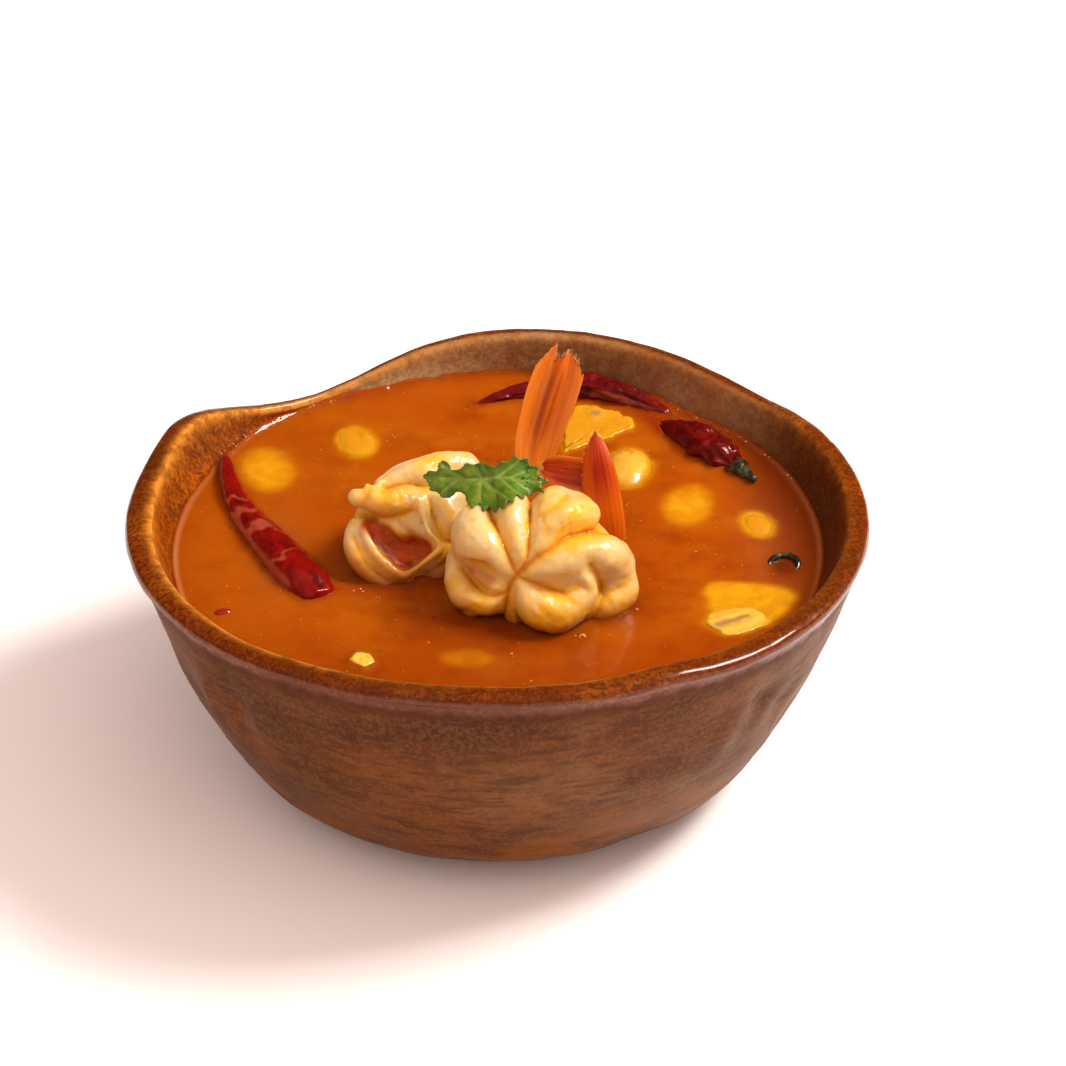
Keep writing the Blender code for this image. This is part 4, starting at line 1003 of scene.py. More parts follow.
def flesh_field(points, strands, lobes, hollows, ridges, creases):
    """Distance to the skin of a prawn ball, and how deep in a crease or hollow each point lies.

    Lobes and strands swell together into a ball, hollows are scooped from it, thin ridges stand on it and
    creases are drawn in along lines, sharp at the bottom and soft at the shoulders.
    """
    points = points.astype(np.float32)
    ball = lobe_distance(points, lobes[0])
    for lobe in lobes[1:]:
        ball = grown_together(ball, lobe_distance(points, lobe), LOBE_FILLET)
    for strand in strands:
        ball = grown_together(ball, strand_distance(points, strand), STRAND_FILLET)
    field = ball
    for hollow in hollows:
        field = -grown_together(-field, strand_distance(points, hollow), RIDGE_FILLET)
    for ridge in ridges:
        field = grown_together(field, strand_distance(points, ridge), RIDGE_FILLET)
    front = ease(-3, 3, points[..., 2]).astype(np.float32)
    drawn_in, stained = np.zeros((2, *points.shape[:-1]), np.float32)
    for line, depth, width in creases:
        off_line = flat_distance(points, line)
        sharp = np.exp(-off_line / (0.55 * width))
        np.maximum(drawn_in, depth * (0.45 * sharp + 0.55 * hump(off_line, 2.1 * width)), out=drawn_in)
        np.maximum(stained, depth / 2.6 * sharp, out=stained)
    return field + CREASE_BITE * front * drawn_in, np.clip((field - ball) / 3.0, 0, 1) + front * stained


def leaning(place, points):
    """Points (across, up, out) of the leaning frame at place, in the dish's own frame."""
    across, up, out = np.asarray(points, float).T
    x, y, z = place
    back = up * math.sin(LEAN) - out * math.cos(LEAN)
    rise = up * math.cos(LEAN) + out * math.sin(LEAN)
    return np.stack([x + across, y + back, z + rise], axis=-1)


def points_of(piece):
    """The piece's points in millimetres."""
    flat = np.empty(len(piece.data.vertices) * 3, np.float32)
    piece.data.vertices.foreach_get("co", flat)
    return flat.reshape(-1, 3).astype(float) / MM


def edit_mesh(piece, *edits):
    """Make the edits on the piece's mesh, and turn its faces out."""
    body = bmesh.new()
    body.from_mesh(piece.data)
    for edit in edits:
        edit(body)
    bmesh.ops.recalc_face_normals(body, faces=body.faces)
    body.to_mesh(piece.data)
    body.free()


def keep_largest(body):
    """Drop the crumbs that the sampling left beside or inside the skin."""
    islands, reached = [], set()
    for first in body.verts:
        if first in reached:
            continue
        reached.add(first)
        island = [first]
        for vert in island:
            beside = {edge.other_vert(vert) for edge in vert.link_edges} - reached
            reached |= beside
            island += beside
        islands.append(island)
    islands.remove(max(islands, key=len))
    bmesh.ops.delete(body, geom=sum(islands, []), context="VERTS")


def smooth_skin(body):
    """Smooth away the grain of the sampling."""
    for _ in range(SKIN_ROUNDS):
        bmesh.ops.smooth_vert(
            body, verts=body.verts, factor=0.5, use_axis_x=True, use_axis_y=True, use_axis_z=True
        )


def make_prawn(name, place, low, high, gathered, stains, parts):
    """Sample the flesh between two corners and skin it; stains run out from where it is gathered."""
    grid = [np.arange(a, b, FLESH_GRAIN, dtype=np.float32) for a, b in zip(low, high)]
    field, fold = flesh_field(np.stack(np.meshgrid(*grid, indexing="ij"), axis=-1), *parts)
    volume = openvdb.FloatGrid(background=3.0)
    volume.copyFromArray(np.ascontiguousarray(field, np.float32))
    corners, quads = volume.convertToQuads(isovalue=0.0)
    prawn = new_piece(name, leaning(place, corners * FLESH_GRAIN + np.array(low)), quads[:, ::-1])
    edit_mesh(prawn, keep_largest, smooth_skin)
    prawn.data.shade_smooth()
    world = points_of(prawn)
    offset = world - np.array(place)
    up = offset[:, 1] * math.sin(LEAN) + offset[:, 2] * math.cos(LEAN)
    out = offset[:, 2] * math.sin(LEAN) - offset[:, 1] * math.cos(LEAN)
    flat = np.stack([offset[:, 0], up, out], axis=-1)
    field, fold = flesh_field(flat, *parts)
    relief = 0.22 * unevenness(flat, 4.0, 2, seed=3) + 0.09 * unevenness(flat, 1.5, 3, seed=8)
    normals = np.array([vert.normal for vert in prawn.data.vertices])
    move_points(prawn, world + normals * relief[:, None])
    across, up = (flat[:, :2] - np.array(gathered)).T
    far = np.hypot(across, up)
    streaks = unevenness(on_circle(3.2, np.arctan2(up, across), far / 7), 0.5, 3, seed=2)
    golden = sum(
        share * hump(flat[:, 0] - right, wide) * hump(flat[:, 1] - high, tall)
        for share, right, high, wide, tall in stains
    )
    stain_streaks = ease(0.05, 0.5, streaks) * ease(0.5, 3, far)
    paint(prawn, fold=np.clip(fold, 0, 1), stain_streaks=stain_streaks, golden=golden)
    return prawn, flat


right_parts = (RIGHT_STRANDS, RIGHT_LOBES, RIGHT_HOLLOWS, RIGHT_RIDGES, RIGHT_CREASES)
left_parts = (LEFT_STRANDS, LEFT_LOBES, LEFT_HOLLOWS, LEFT_RIDGES, LEFT_CREASES)
prawn_right, right_flat = make_prawn(
    "prawn_right_meat", RIGHT_PLACE, (-22, -18, -20), (22, 19, 19), RIGHT_GATHERED, RIGHT_GOLD, right_parts
)
prawn_left, left_flat = make_prawn(
    "prawn_left_meat", LEFT_PLACE, (-16, -16, -18), (25, 20, 13), LEFT_GATHERED, LEFT_GOLD, left_parts
)
# The left ball is pinker below; both are brown low down, partly where broth has soaked in and partly as
# painted shade.
paint(
    prawn_right,
    rosy=0,
    hollow=0.45 * ease(2.0, 0.6, flat_distance(right_flat.astype(np.float32), DIMPLE)),
    sodden=0.6 * ease(54.0, 50.0, points_of(prawn_right)[:, 2]),
)
across, up, out = left_flat.T
mouth, lower_mouth = (flat_distance(left_flat.astype(np.float32), line) for line in (MOUTH, LOWER_MOUTH))
hollow = np.maximum(ease(3.2, 1.8, mouth), ease(2.6, 1.4, lower_mouth)) * ease(7.4, 6.0, out)
paint(
    prawn_left,
    rosy=ease(0, -7, up) * ease(6, 0, across),
    hollow=hollow * (1 - 0.8 * hump(across + 2.2, 1.9) * hump(up - 0.2, 1.7)),
    sodden=0.85 * ease(57.0, 50.0, points_of(prawn_left)[:, 2]),
)

MEAT_CREAM = (0.670, 0.500, 0.250)
MEAT_GOLD = (0.720, 0.400, 0.030)
MEAT_ROSE = (0.560, 0.270, 0.120)
FOLD_ORANGE = (0.600, 0.200, 0.004)
HOLLOW_SHADE_ORANGE = (0.500, 0.066, 0.001)
HOLLOW_SHADE_RED = (0.240, 0.022, 0.001)
SODDEN_SHADE_BROWN = (0.300, 0.095, 0.022)
SPECK_BROWN = (0.300, 0.110, 0.020)
meat = Finish(
    "prawn meat", IOR=1.42, Coat_Weight=0.5, Coat_Roughness=0.06,
    Subsurface_Weight=0.7, Subsurface_Radius=(1.0, 0.6, 0.3), Subsurface_Scale=0.0026,
)
x, y, z = meat.axes()
fold, hollow = meat.painted("fold"), meat.painted("hollow")
clouds = meat.patches(150, 4, 0.40, 0.68)
gold = meat.painted("golden") * 0.75 + clouds * 0.25 + meat.painted("stain_streaks") * 0.4
# The gold deepens low down near the broth, partly broth stain and partly painted shade.
gold = gold + between(fold, 0.0, 0.35) * 0.55 + between(z, 0.0590, 0.0494) * 0.85
meat.complete(
    layered(
        MEAT_CREAM,
        (meat.painted("rosy"), MEAT_ROSE),
        (clipped(gold), MEAT_GOLD),
        (between(fold, 0.22, 0.9) * 0.8, FOLD_ORANGE),
        # Orange low down near the broth, partly broth stain and partly painted shade.
        (between(z, 0.0535, 0.0494) * 0.75, FOLD_ORANGE),
        # Brown low down, partly soaked-in broth and partly painted shade.
        (meat.painted("sodden"), SODDEN_SHADE_BROWN),
        # Painted shade deep in the hollows.
        (hollow * 0.92, layered(HOLLOW_SHADE_ORANGE, (clouds, HOLLOW_SHADE_RED))),
        (meat.specks(620, 0.16, 0.3) * 0.45, SPECK_BROWN),
    ),
    roughness=clouds * 0.12 + 0.30,
    relief=(meat.noise(620, 5, 0.6), 0.34, 0.0005),
    coat=clipped(0.55 - between(z, 0.0630, 0.0540) * 0.38 - hollow * 0.5),
)
for prawn, side in ((prawn_right, "right"), (prawn_left, "left")):
    meat.cover(prawn)
    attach(prawn, "root")
    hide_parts("prawn_" + side)


# Prawn tail fans -------------------------------------------------------------------------------------------
# Thin curved shell blades left on the meat: an orange pair standing up behind, a red blade at the right and
# one lying red blade. The shell is streaked with fine ribs, and its free ends are frayed into hairs.

SHELL_THICKNESS = 0.7
BLADE_ROWS, BLADE_COLUMNS = 120, 90
# Each blade: its base, tip and the way across it; its left and right edge (share of length, offset), its
# crown (place across, share of length); then the number of ribs, how frayed it is and a seed.
ORANGE_BLADE = (
    ((7.2, 9.4, 61.6), (13.6, 17.8, 88.4), (1, 0.2, 0)),
    ((0, -3.4), (0.2, -4.9), (0.45, -5.3), (0.7, -5.0), (0.88, -4.0), (1.0, -2.6)),
    ((0, 3.6), (0.2, 4.4), (0.45, 5.5), (0.7, 6.4), (0.85, 6.4), (1.0, 5.4)),
    ((-1, 0.86), (-0.62, 1.00), (-0.42, 0.985), (-0.22, 0.90), (0, 0.94), (0.25, 0.965), (0.6, 0.93),
     (1, 0.83)),
    26, 0.035, 4.0,
)
RED_BLADE = (
    ((25.0, -0.4, 46.6), (20.3, 4.2, 76.2), (1, 0.35, 0)),
    ((0, -3.0), (0.25, -3.9), (0.5, -4.3), (0.7, -3.7), (0.88, -2.2), (1.0, -0.7)),
    ((0, 3.0), (0.25, 3.8), (0.5, 3.9), (0.7, 3.4), (0.88, 2.2), (1.0, 0.8)),
    ((-1, 0.90), (-0.5, 0.98), (-0.1, 1.0), (0.3, 0.985), (1, 0.90)),
    22, 0.03, 9.0,
)
LYING_BLADE = (
    ((23.0, 2.2, 64.6), (9.4, 4.4, 66.6), (0, 0.5, 1)),
    ((0, -3.0), (0.3, -3.6), (0.6, -3.6), (0.85, -3.1), (1.0, -2.2)),
    ((0, 3.0), (0.3, 3.6), (0.6, 3.6), (0.85, 3.0), (1.0, 2.0)),
    ((-1, 0.9), (-0.5, 1.0), (0, 0.97), (0.5, 1.0), (1, 0.9)),
    16, 0.05, 2.0,
)


def two_lobes(u, v):
    """Section of the orange pair: each blade bulges towards the front, with a valley between them."""
    return (2.0 * (1 - np.abs(u) ** 1.6) - 1.7 * hump(u - 0.05, 0.20)) * ease(-0.05, 0.5, v)


def one_lobe(u, v):
    return -1.2 * (1 - u**2) * ease(0, 0.4, v)


def shallow(u, v):
    return 0.9 * (1 - u**2)


def make_blade(name, section, lie, left, right, crown, rib_count, fray, seed):
    """A thin closed shell: two skins over a grid of u across and v along, sewn round the edge."""
    base, tip, side = (np.array(value, float) for value in lie)
    reach = np.linalg.norm(tip - base)
    along = (tip - base) / reach
    side -= side @ along * along
    side /= np.linalg.norm(side)
    face = np.cross(along, side)
    u = np.tile(np.linspace(-1, 1, BLADE_COLUMNS), BLADE_ROWS)
    level = np.repeat(np.linspace(0, 1, BLADE_ROWS), BLADE_COLUMNS)
    torn = fray * (0.5 + unevenness(np.stack([u * 9, 0 * u, 0 * u], axis=-1), 0.5, 2, seed))
    v = level * (smooth_value(crown, u) - torn * ease(0.9, 1.0, level))
    left, right = (smooth_value(edge, np.clip(v, 0, 1)) for edge in (left, right))
    ribs = np.sin(u * rib_count + 1.2 * np.sin(3 * v + seed))
    fibres = unevenness(np.stack([u * 9, v * 1.2, 0 * u], axis=-1), 0.6, 2, seed + 3)
    lift = section(u, v) + (0.03 * ribs + 0.05 * fibres) * ease(0, 0.15, v)
    offset = left + (right - left) * (u + 1) / 2
    middle = base + along * (v * reach)[:, None] + side * offset[:, None] + face * lift[:, None]
    thick = SHELL_THICKNESS * (0.25 + 0.75 * (1 - np.abs(u) ** 8) * (1 - 0.7 * ease(0.85, 1.0, level)))
    half = face * thick[:, None] / 2
    index = np.arange(BLADE_ROWS * BLADE_COLUMNS).reshape(BLADE_ROWS, BLADE_COLUMNS)
    quads = quad_faces(index[:, :-1], index[:, 1:])
    loop = np.concatenate([index[0], index[1:, -1], index[-1, -2::-1], index[-2:0:-1, 0]])
    beyond = np.roll(loop, -1)
    rim = np.stack([loop, loop + index.size, beyond + index.size, beyond], axis=-1).tolist()
    other = (np.array(quads)[:, ::-1] + index.size).tolist()
    blade = new_piece(name, np.concatenate([middle + half, middle - half]), quads + other + rim)
    edit_mesh(blade)
    paint(blade, up_blade=np.tile(v, 2), across_blade=np.tile(u, 2))
    return blade, middle.reshape(BLADE_ROWS, BLADE_COLUMNS, 3)


orange_tail, orange_grid = make_blade("tail_fan_orange", two_lobes, *ORANGE_BLADE)
red_tail, red_grid = make_blade("tail_fan_red", one_lobe, *RED_BLADE)
lying_tail, lying_grid = make_blade("tail_fan_lying", shallow, *LYING_BLADE)

SHELL_ORANGE = (0.580, 0.140, 0.004)
SHELL_APRICOT = (0.740, 0.270, 0.030)
SHELL_UMBER = (0.270, 0.038, 0.003)
SHELL_RED = (0.440, 0.040, 0.003)
SHELL_DEEP = (0.300, 0.014, 0.003)
HAIR_PALE = (0.820, 0.520, 0.260)


def size_of(value):
    """The value without its sign."""
    return node(value.tree, "ShaderNodeMath", {0: value}, operation="ABSOLUTE")


def shell_finish(name, body, bright, deep, pale_base, valleys):
    """Streaked shell: a body colour with bright and deep streaks up the blade, darker down each valley."""
    shell = Finish(
        name, IOR=1.5, Specular_IOR_Level=0.3, Coat_Weight=0.3, Coat_Roughness=0.1,
        Subsurface_Weight=0.35, Subsurface_Scale=0.0012, Subsurface_Radius=(1.0, 0.3, 0.08),
    )
    up, across = shell.painted("up_blade"), shell.painted("across_blade")
    on_blade = node(shell.tree, "ShaderNodeCombineXYZ", {0: across, 1: up * 0.25})
    broad = shell.patches(3.2, 3, 0.42, 0.62, place=on_blade)
    fine = shell.patches(15, 4, 0.44, 0.64, place=on_blade)
    mid_blade = between(up, 0.92, 0.70) * between(up, 0.08, 0.35)
    colour = layered(body, (broad * 0.3, bright), (fine * 0.1, deep))
    for middle, width, share in valleys:
        colour = layered(colour, (between(size_of(across - middle), width, 0.02) * mid_blade * share, deep))
    colour = layered(
        colour,
        (between(up, pale_base, pale_base - 0.35) * 0.8, bright),
        (between(up, 0.70, 0.92) * 0.5, body),
        (between(size_of(across), 0.45, 1.0) * 0.6, bright),
    )
    shell.complete(colour, roughness=fine * 0.16 + 0.34, relief=(fine, 0.12, 0.0002))
    return shell


ORANGE_VALLEYS = ((-0.14, 0.16, 0.6), (0.16, 0.18, 0.65))
RED_VALLEYS = ((-0.30, 0.34, 0.85), (0.12, 0.3, 0.8))
LYING_VALLEYS = ((-0.7, 1.0, 0.9),)
orange = shell_finish("orange tail shell", SHELL_ORANGE, SHELL_APRICOT, SHELL_UMBER, 0.4, ORANGE_VALLEYS)
red = shell_finish("red tail shell", SHELL_RED, SHELL_ORANGE, SHELL_DEEP, 0.72, RED_VALLEYS)
lying = shell_finish("lying tail shell", SHELL_RED, SHELL_APRICOT, SHELL_DEEP, 0.2, LYING_VALLEYS)
for shell, tail, replaced in (
    (orange, orange_tail, "prawn_left_tail"),
    (red, red_tail, "prawn_right_tail"),
    (lying, lying_tail, "prawn_right_tail"),
):
    shell.cover(tail)
    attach(tail, "root")
    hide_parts(replaced)

# Hairs: fine tapering bristles set at random along each frayed edge, leaning with the blade.


def set_out(spots, shape, rotation, size, material):
    """End a node group: the shape copied to each spot, made real and given its material."""
    inputs = {"Points": spots, "Instance": shape, "Rotation": rotation, "Scale": size}
    copies = node(spots.tree, "GeometryNodeInstanceOnPoints", inputs)
    made = node(spots.tree, "GeometryNodeRealizeInstances", {0: copies})
    give(node(spots.tree, "GeometryNodeSetMaterial", {"Geometry": made, "Material": material}))


def by_chance(low, high, seed):
    """A number between two others, drawn for each spot."""
    return node(seed.tree, "FunctionNodeRandomValue", {2: low, 3: high, "Seed": seed}, 1, data_type="FLOAT")


def grow(piece, group, **values):
    """Run a node group on a piece with these inputs, keep the mesh it makes, and drop the modifier."""
    modifier = piece.modifiers.new(group.name, "NODES")
    modifier.node_group = group
    for item in group.interface.items_tree:
        if item.in_out == "INPUT" and item.name in values:
            modifier[item.identifier] = values[item.name]
    piece.update_tag()
    graph = bpy.context.evaluated_depsgraph_get()
    mesh = bpy.data.meshes.new_from_object(piece.evaluated_get(graph), depsgraph=graph)
    piece.modifiers.clear()
    mesh.name = piece.name
    piece.data = mesh
    mesh.shade_smooth()


BRISTLE_INPUTS = (
    ("Geometry", "Geometry", None), ("Spacing", "Float", 0.0002), ("Length", "Float", 0.0012),
    ("Thickness", "Float", 0.00004), ("Lean", "Vector", (0, 0, 1)), ("Seed", "Int", 1),
    ("Material", "Material", None),
)
bristles, given = new_tree("Bristles", "GeometryNodeTree", BRISTLE_INPUTS, ("Geometry", "Geometry"))
line = node(bristles, "GeometryNodeMeshToCurve", {0: given["Geometry"]})
inputs = {"Curve": line, "Length": given["Spacing"]}
spots = node(bristles, "GeometryNodeCurveToPoints", inputs, mode="LENGTH")
inputs = {"Vertices": 5, "Side Segments": 2, "Radius Top": 0.00001, "Radius Bottom": given["Thickness"]}
hair = node(bristles, "GeometryNodeMeshCone", inputs | {"Depth": given["Length"]})
inputs = {0: (-0.5, -0.5, -0.3), 1: (0.5, 0.5, 0.3), "Seed": given["Seed"]}
stray = node(bristles, "FunctionNodeRandomValue", inputs, data_type="FLOAT_VECTOR")
towards = node(bristles, "ShaderNodeVectorMath", {0: given["Lean"], 1: stray}, operation="ADD")
pointed = node(bristles, "FunctionNodeAlignEulerToVector", {"Vector": towards}, axis="Z")
set_out(spots, hair, pointed, by_chance(0.35, 1.3, given["Seed"]), given["Material"])

hair_shell = Finish("shell hairs", Roughness=0.5)
tint = hair_shell.patches(900, 2, 0.4, 0.6)
hair_shell.complete(layered(HAIR_PALE, (tint, SHELL_ORANGE)), relief=(tint, 0.1, 0.0001))

HAIR_SPACING = 0.00009
# Each fringe: the edge that it stands on, its lean, the length of its hairs and a seed.
FRINGES = (
    ("tail_hairs_orange", orange_grid[-1, 24:82], (0.25, 0.35, 0.9), 0.0011, 3),
    ("tail_hairs_red", red_grid[-1, 6:84], (-0.15, 0.2, 0.95), 0.0007, 5),
    ("tail_hairs_red_left", red_grid[78:, 0], (-0.5, 0.0, 0.8), 0.0006, 7),
    ("tail_hairs_lying", lying_grid[-1, 8:82], (-0.95, 0.1, 0.2), 0.0008, 11),
)
for name, edge, lean, length, seed in FRINGES:
    fringe = new_piece(name, edge, edges=[(k, k + 1) for k in range(len(edge) - 1)], smooth=False)
    details = {"Spacing": HAIR_SPACING, "Length": length, "Lean": lean, "Seed": seed}
    grow(fringe, bristles, Material=hair_shell.material, **details)
    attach(fringe, "root")
    "tail_shell_orange" if "orange" in name else "tail_shell_red"


# Broth -----------------------------------------------------------------------------------------------------
# Thin, cloudy chilli and tamarind broth ladled to 9 mm below the rim. Its surface climbs a little against the
# wall and the food; what lies just under it shows through as soft yellow or dark red.

BROTH_GRID = 300
WALL_OVERLAP, WALL_CLIMB, FOOD_CLIMB = 0.5, 0.9, 0.75
# Heights of the rings of points down the side and along the bottom.
BROTH_RINGS = (44.0, 36.0, 27.0, 18.0, 11.0, 9.0)
RAY_START, SURFACE_GAP, NONE_BELOW = 40, 0.02, 30.0
# Milky veils on the surface: place, width and depth. Then shaded places: strength, place, width and depth.
VEILS = ((-47.0, -3.0, 5.0, 14.0), (-31.0, -8.0, 3.5, 7.0), (60.0, 4.0, 7.0, 22.0))
SHADED = ((0.6, -2, -31, 15, 9), (0.7, 61, -8.6, 2.8, 3.4))


def merged_tree(*pieces):
    """One search tree, in millimetres, over the skins of several pieces."""
    corners, faces, start = [], [], 0
    for piece in pieces:
        points = points_of(piece)
        corners.append(points)
        faces += [[start + k for k in polygon.vertices] for polygon in piece.data.polygons]
        start += len(points)
    return BVHTree.FromPolygons(np.concatenate(corners).tolist(), faces)


def distance_from(tree, spots):
    """How far the tree's skin lies from each spot on the surface of the broth."""
    return np.array([tree.find_nearest((x, y, SOUP_LEVEL))[3] for x, y in spots.tolist()])


def depth_below(tree, spots):
    """Depth of the tree's skin under each spot: 0 where it stands proud, NONE_BELOW where there is none."""
    depths = np.full(len(spots), NONE_BELOW)
    for k, (x, y) in enumerate(spots.tolist()):
        place, _, _, depth = tree.ray_cast((x, y, SOUP_LEVEL + RAY_START + SURFACE_GAP), (0, 0, -1))
        if place is not None:
            depths[k] = max(depth - RAY_START, 0)
    return depths


def clouded(values, rounds):
    """Blur values over the surface grid, as cloudy broth blurs what lies in it."""
    grid = values.reshape(BROTH_GRID + 1, -1)
    for _ in range(rounds):
        wide = np.pad(grid, 1, mode="edge")
        grid = (grid + wide[:-2, 1:-1] + wide[2:, 1:-1] + wide[1:-1, :-2] + wide[1:-1, 2:]) / 5
    return grid.ravel()


# A square grid is bent to the round wall, so that its cells stay small and even.
steps = np.linspace(-1, 1, BROTH_GRID + 1)
a, b = (values.ravel() for values in np.meshgrid(steps, steps, indexing="ij"))
share = np.maximum(np.abs(a), np.abs(b))
end_on = np.abs(a) >= np.abs(b)
longer, shorter = np.where(end_on, (a, b), (b, -a))
turn = np.pi / 4 * shorter / np.where(longer == 0, 1, longer) + np.pi / 2 * ~end_on + np.pi * (longer < 0)
azimuth = np.degrees(turn)
reach = inside_radius(azimuth) + WALL_OVERLAP
flat = on_circle(share * reach, turn)
from_wall = (1 - share) * reach - WALL_OVERLAP

meat_skin = merged_tree(prawn_right, prawn_left)
pod_skins = merged_tree(*pods.values())
caps = [piece for name, piece in mushrooms.items() if "sunk" not in name]
food = merged_tree(prawn_right, prawn_left, orange_tail, red_tail, *pods.values(), calyx, chip)
from_food = distance_from(food, flat)
from_meat = distance_from(meat_skin, flat)
from_caps = distance_from(merged_tree(*caps), flat)
pale_depth = depth_below(merged_tree(*mushrooms.values(), chip), flat)
red_depth, meat_depth = depth_below(pod_skins, flat), depth_below(meat_skin, flat)
climb = WALL_CLIMB + 0.5 * bell(azimuth, 122, 24)
climb *= 1 + 0.36 * unevenness(on_circle(70, turn, 0 * turn), 4.4, 3, seed=4)
level = SOUP_LEVEL + climb * np.exp(-np.maximum(from_wall, 0) / 0.9)
level += FOOD_CLIMB * np.exp(-from_food / 0.8) + 0.06 * np.exp(-from_caps / 0.8)
spots = np.c_[flat, 0 * share]
level += 0.05 * unevenness(spots, 11, 2, seed=3) + 0.012 * unevenness(spots, 2.2, 2, seed=7)
surface = np.c_[flat, level]

grid = np.arange((BROTH_GRID + 1) ** 2).reshape(BROTH_GRID + 1, -1)
surface_quads = np.stack([grid[:-1, :-1], grid[1:, :-1], grid[1:, 1:], grid[:-1, 1:]], axis=-1).reshape(-1, 4)
edge = np.concatenate([grid[:-1, 0], grid[-1, :-1], grid[:0:-1, -1], grid[0, :0:-1]])
below = len(flat) + np.arange(len(BROTH_RINGS) * len(edge)).reshape(-1, len(edge))
rings = np.concatenate([edge[None], below])
points = [surface]
for depth in BROTH_RINGS:
    radius = inner_point(azimuth[edge], depth)[0] + (0.3 if depth > BROTH_RINGS[-2] else -0.4)
    points.append(on_circle(radius, turn[edge], 0 * radius + depth))
points = np.concatenate([*points, [(0, 0, BROTH_RINGS[-1])]])
faces = surface_quads.tolist() + quad_faces(rings, np.roll(rings, -1, axis=1))
faces += cap_faces(rings[-1].tolist(), len(points) - 1, flip=True)
broth = new_piece("chilli_broth", points, faces)
edit_mesh(broth)


def paint_surface(**layers):
    """Keep values for the points of the surface, and nothing for those below it."""
    for name, values in layers.items():
        paint(broth, **{name: np.append(values, np.zeros(len(points) - len(flat)))})


def blot(x, y, wide, deep):
    """A soft place on the surface: 1 in its middle, and nothing far from it."""
    return hump(flat[:, 0] - x, wide) * hump(flat[:, 1] - y, deep)


shade = ease(17, 2, from_wall) * bell(azimuth, 16, 42)
shade += sum(strength * blot(*place) for strength, *place in SHADED)
paint_surface(
    yellow_below=clouded(np.exp(-np.maximum(pale_depth - 0.6, 0) / 2.2), 7),
    red_below=clouded(np.exp(-red_depth / 1.3), 3),
    meat_below=clouded(np.exp(-meat_depth / 1.6), 6),
    # by_food, by_wall and by_meat also carry painted shade near the food, wall and prawns; lit_edge, a
    # painted highlight.
    by_food=np.exp(-from_food / 1.2),
    by_meat=np.exp(-np.maximum(from_meat - 0.4, 0) / 2.6),
    by_wall=np.exp(-np.maximum(from_wall, 0) / 2.4),
    lit_edge=hump(from_wall - 0.55, 0.4) * (bell(azimuth, 192, 42) + 0.6 * bell(azimuth, 0, 34)),
    shade=np.clip(shade, 0, 1),
    milky=np.clip(sum(blot(*veil) for veil in VEILS), 0, 1),
)

BROTH_ORANGE = (0.350, 0.078, 0.0022)
BROTH_AMBER = (0.385, 0.105, 0.0034)
BROTH_RUST = (0.225, 0.036, 0.0016)
BROTH_DEEP = (0.100, 0.016, 0.0020)
BROTH_MILKY = (0.300, 0.085, 0.0260)
BROTH_YELLOW = (0.620, 0.305, 0.0090)
BROTH_RED = (0.240, 0.012, 0.0020)
BROTH_MEAT_SHADOW = (0.180, 0.024, 0.0010)
BROTH_EDGE_HIGHLIGHT = (0.520, 0.270, 0.1300)
BROTH_SPECK = (0.480, 0.160, 0.0080)
liquid = Finish(
    "chilli broth", IOR=1.33,
    Subsurface_Weight=0.7, Subsurface_Radius=(1.0, 0.28, 0.05), Subsurface_Scale=0.0035,
)
x, y, z = liquid.axes()
clouds = liquid.patches(110, 5, 0.45, 0.70)
mottled = liquid.patches(300, 4, 0.38, 0.66)
by_wall, by_food = liquid.painted("by_wall"), liquid.painted("by_food")
liquid.complete(
    layered(
        BROTH_ORANGE,
        (liquid.patches(42, 5, 0.40, 0.66, (1, 1.8, 1)), BROTH_AMBER),
        (clouds * 0.5, BROTH_RUST),
        # Painted light: lighter amber over the left, where the light reaches past the right wall.
        (between(x, -0.012, -0.060) * 0.45, BROTH_AMBER),
        # Painted shade: darker rust towards the front.
        (between(y, -0.020, -0.062) * 0.6, BROTH_RUST),
        (liquid.painted("milky") * 0.6, BROTH_MILKY),
        (liquid.painted("shade") * 0.85, BROTH_DEEP),
        (clipped(liquid.painted("yellow_below") * (mottled * 0.32 + 0.72)), BROTH_YELLOW),
        (liquid.painted("meat_below") * 0.25, BROTH_YELLOW),
        (liquid.painted("red_below") * 0.8, BROTH_RED),
        # Painted shade and reflection: darker rust close to the wall and the food.
        (by_wall * 0.55, BROTH_RUST),
        (by_food * 0.45, BROTH_RUST),
        # Painted shadow of the prawns on the broth around them.
        (liquid.painted("by_meat") * 0.75, BROTH_MEAT_SHADOW),
        # Painted highlight: a light line at the broth's edge along the left and right wall.
        (liquid.painted("lit_edge") * 0.5, BROTH_EDGE_HIGHLIGHT),
        (liquid.specks(900, 0.20, 0.36) * 0.5, BROTH_SPECK),
        (liquid.specks(330, 0.17, 0.12) * 0.45, BROTH_SPECK),
    ),
    roughness=clouds * 0.08 + 0.15 - clipped(by_wall + by_food) * 0.10,
    relief=(liquid.noise(260, 3), 0.12, 0.0005),
)
liquid.cover(broth)
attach(broth, "root")
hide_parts("soup")


# Coriander leaf --------------------------------------------------------------------------------------------
# One fresh coriander leaf laid over both prawns: lobed, toothed, with pale veins and water on its right end.
# Its flat outline is filled with points, draped until it rests on the meat, and given a second skin below.

LEAF_PLACE = (-2.3, -8.5, 70.7)
LEAF_THICKNESS, LEAF_GRAIN = 0.34, 0.34
LEAF_LIFT, DRAPE_ROUNDS, DRAPE_SAG, SMOOTHING_ROUNDS = 0.5, 900, 0.012, 10
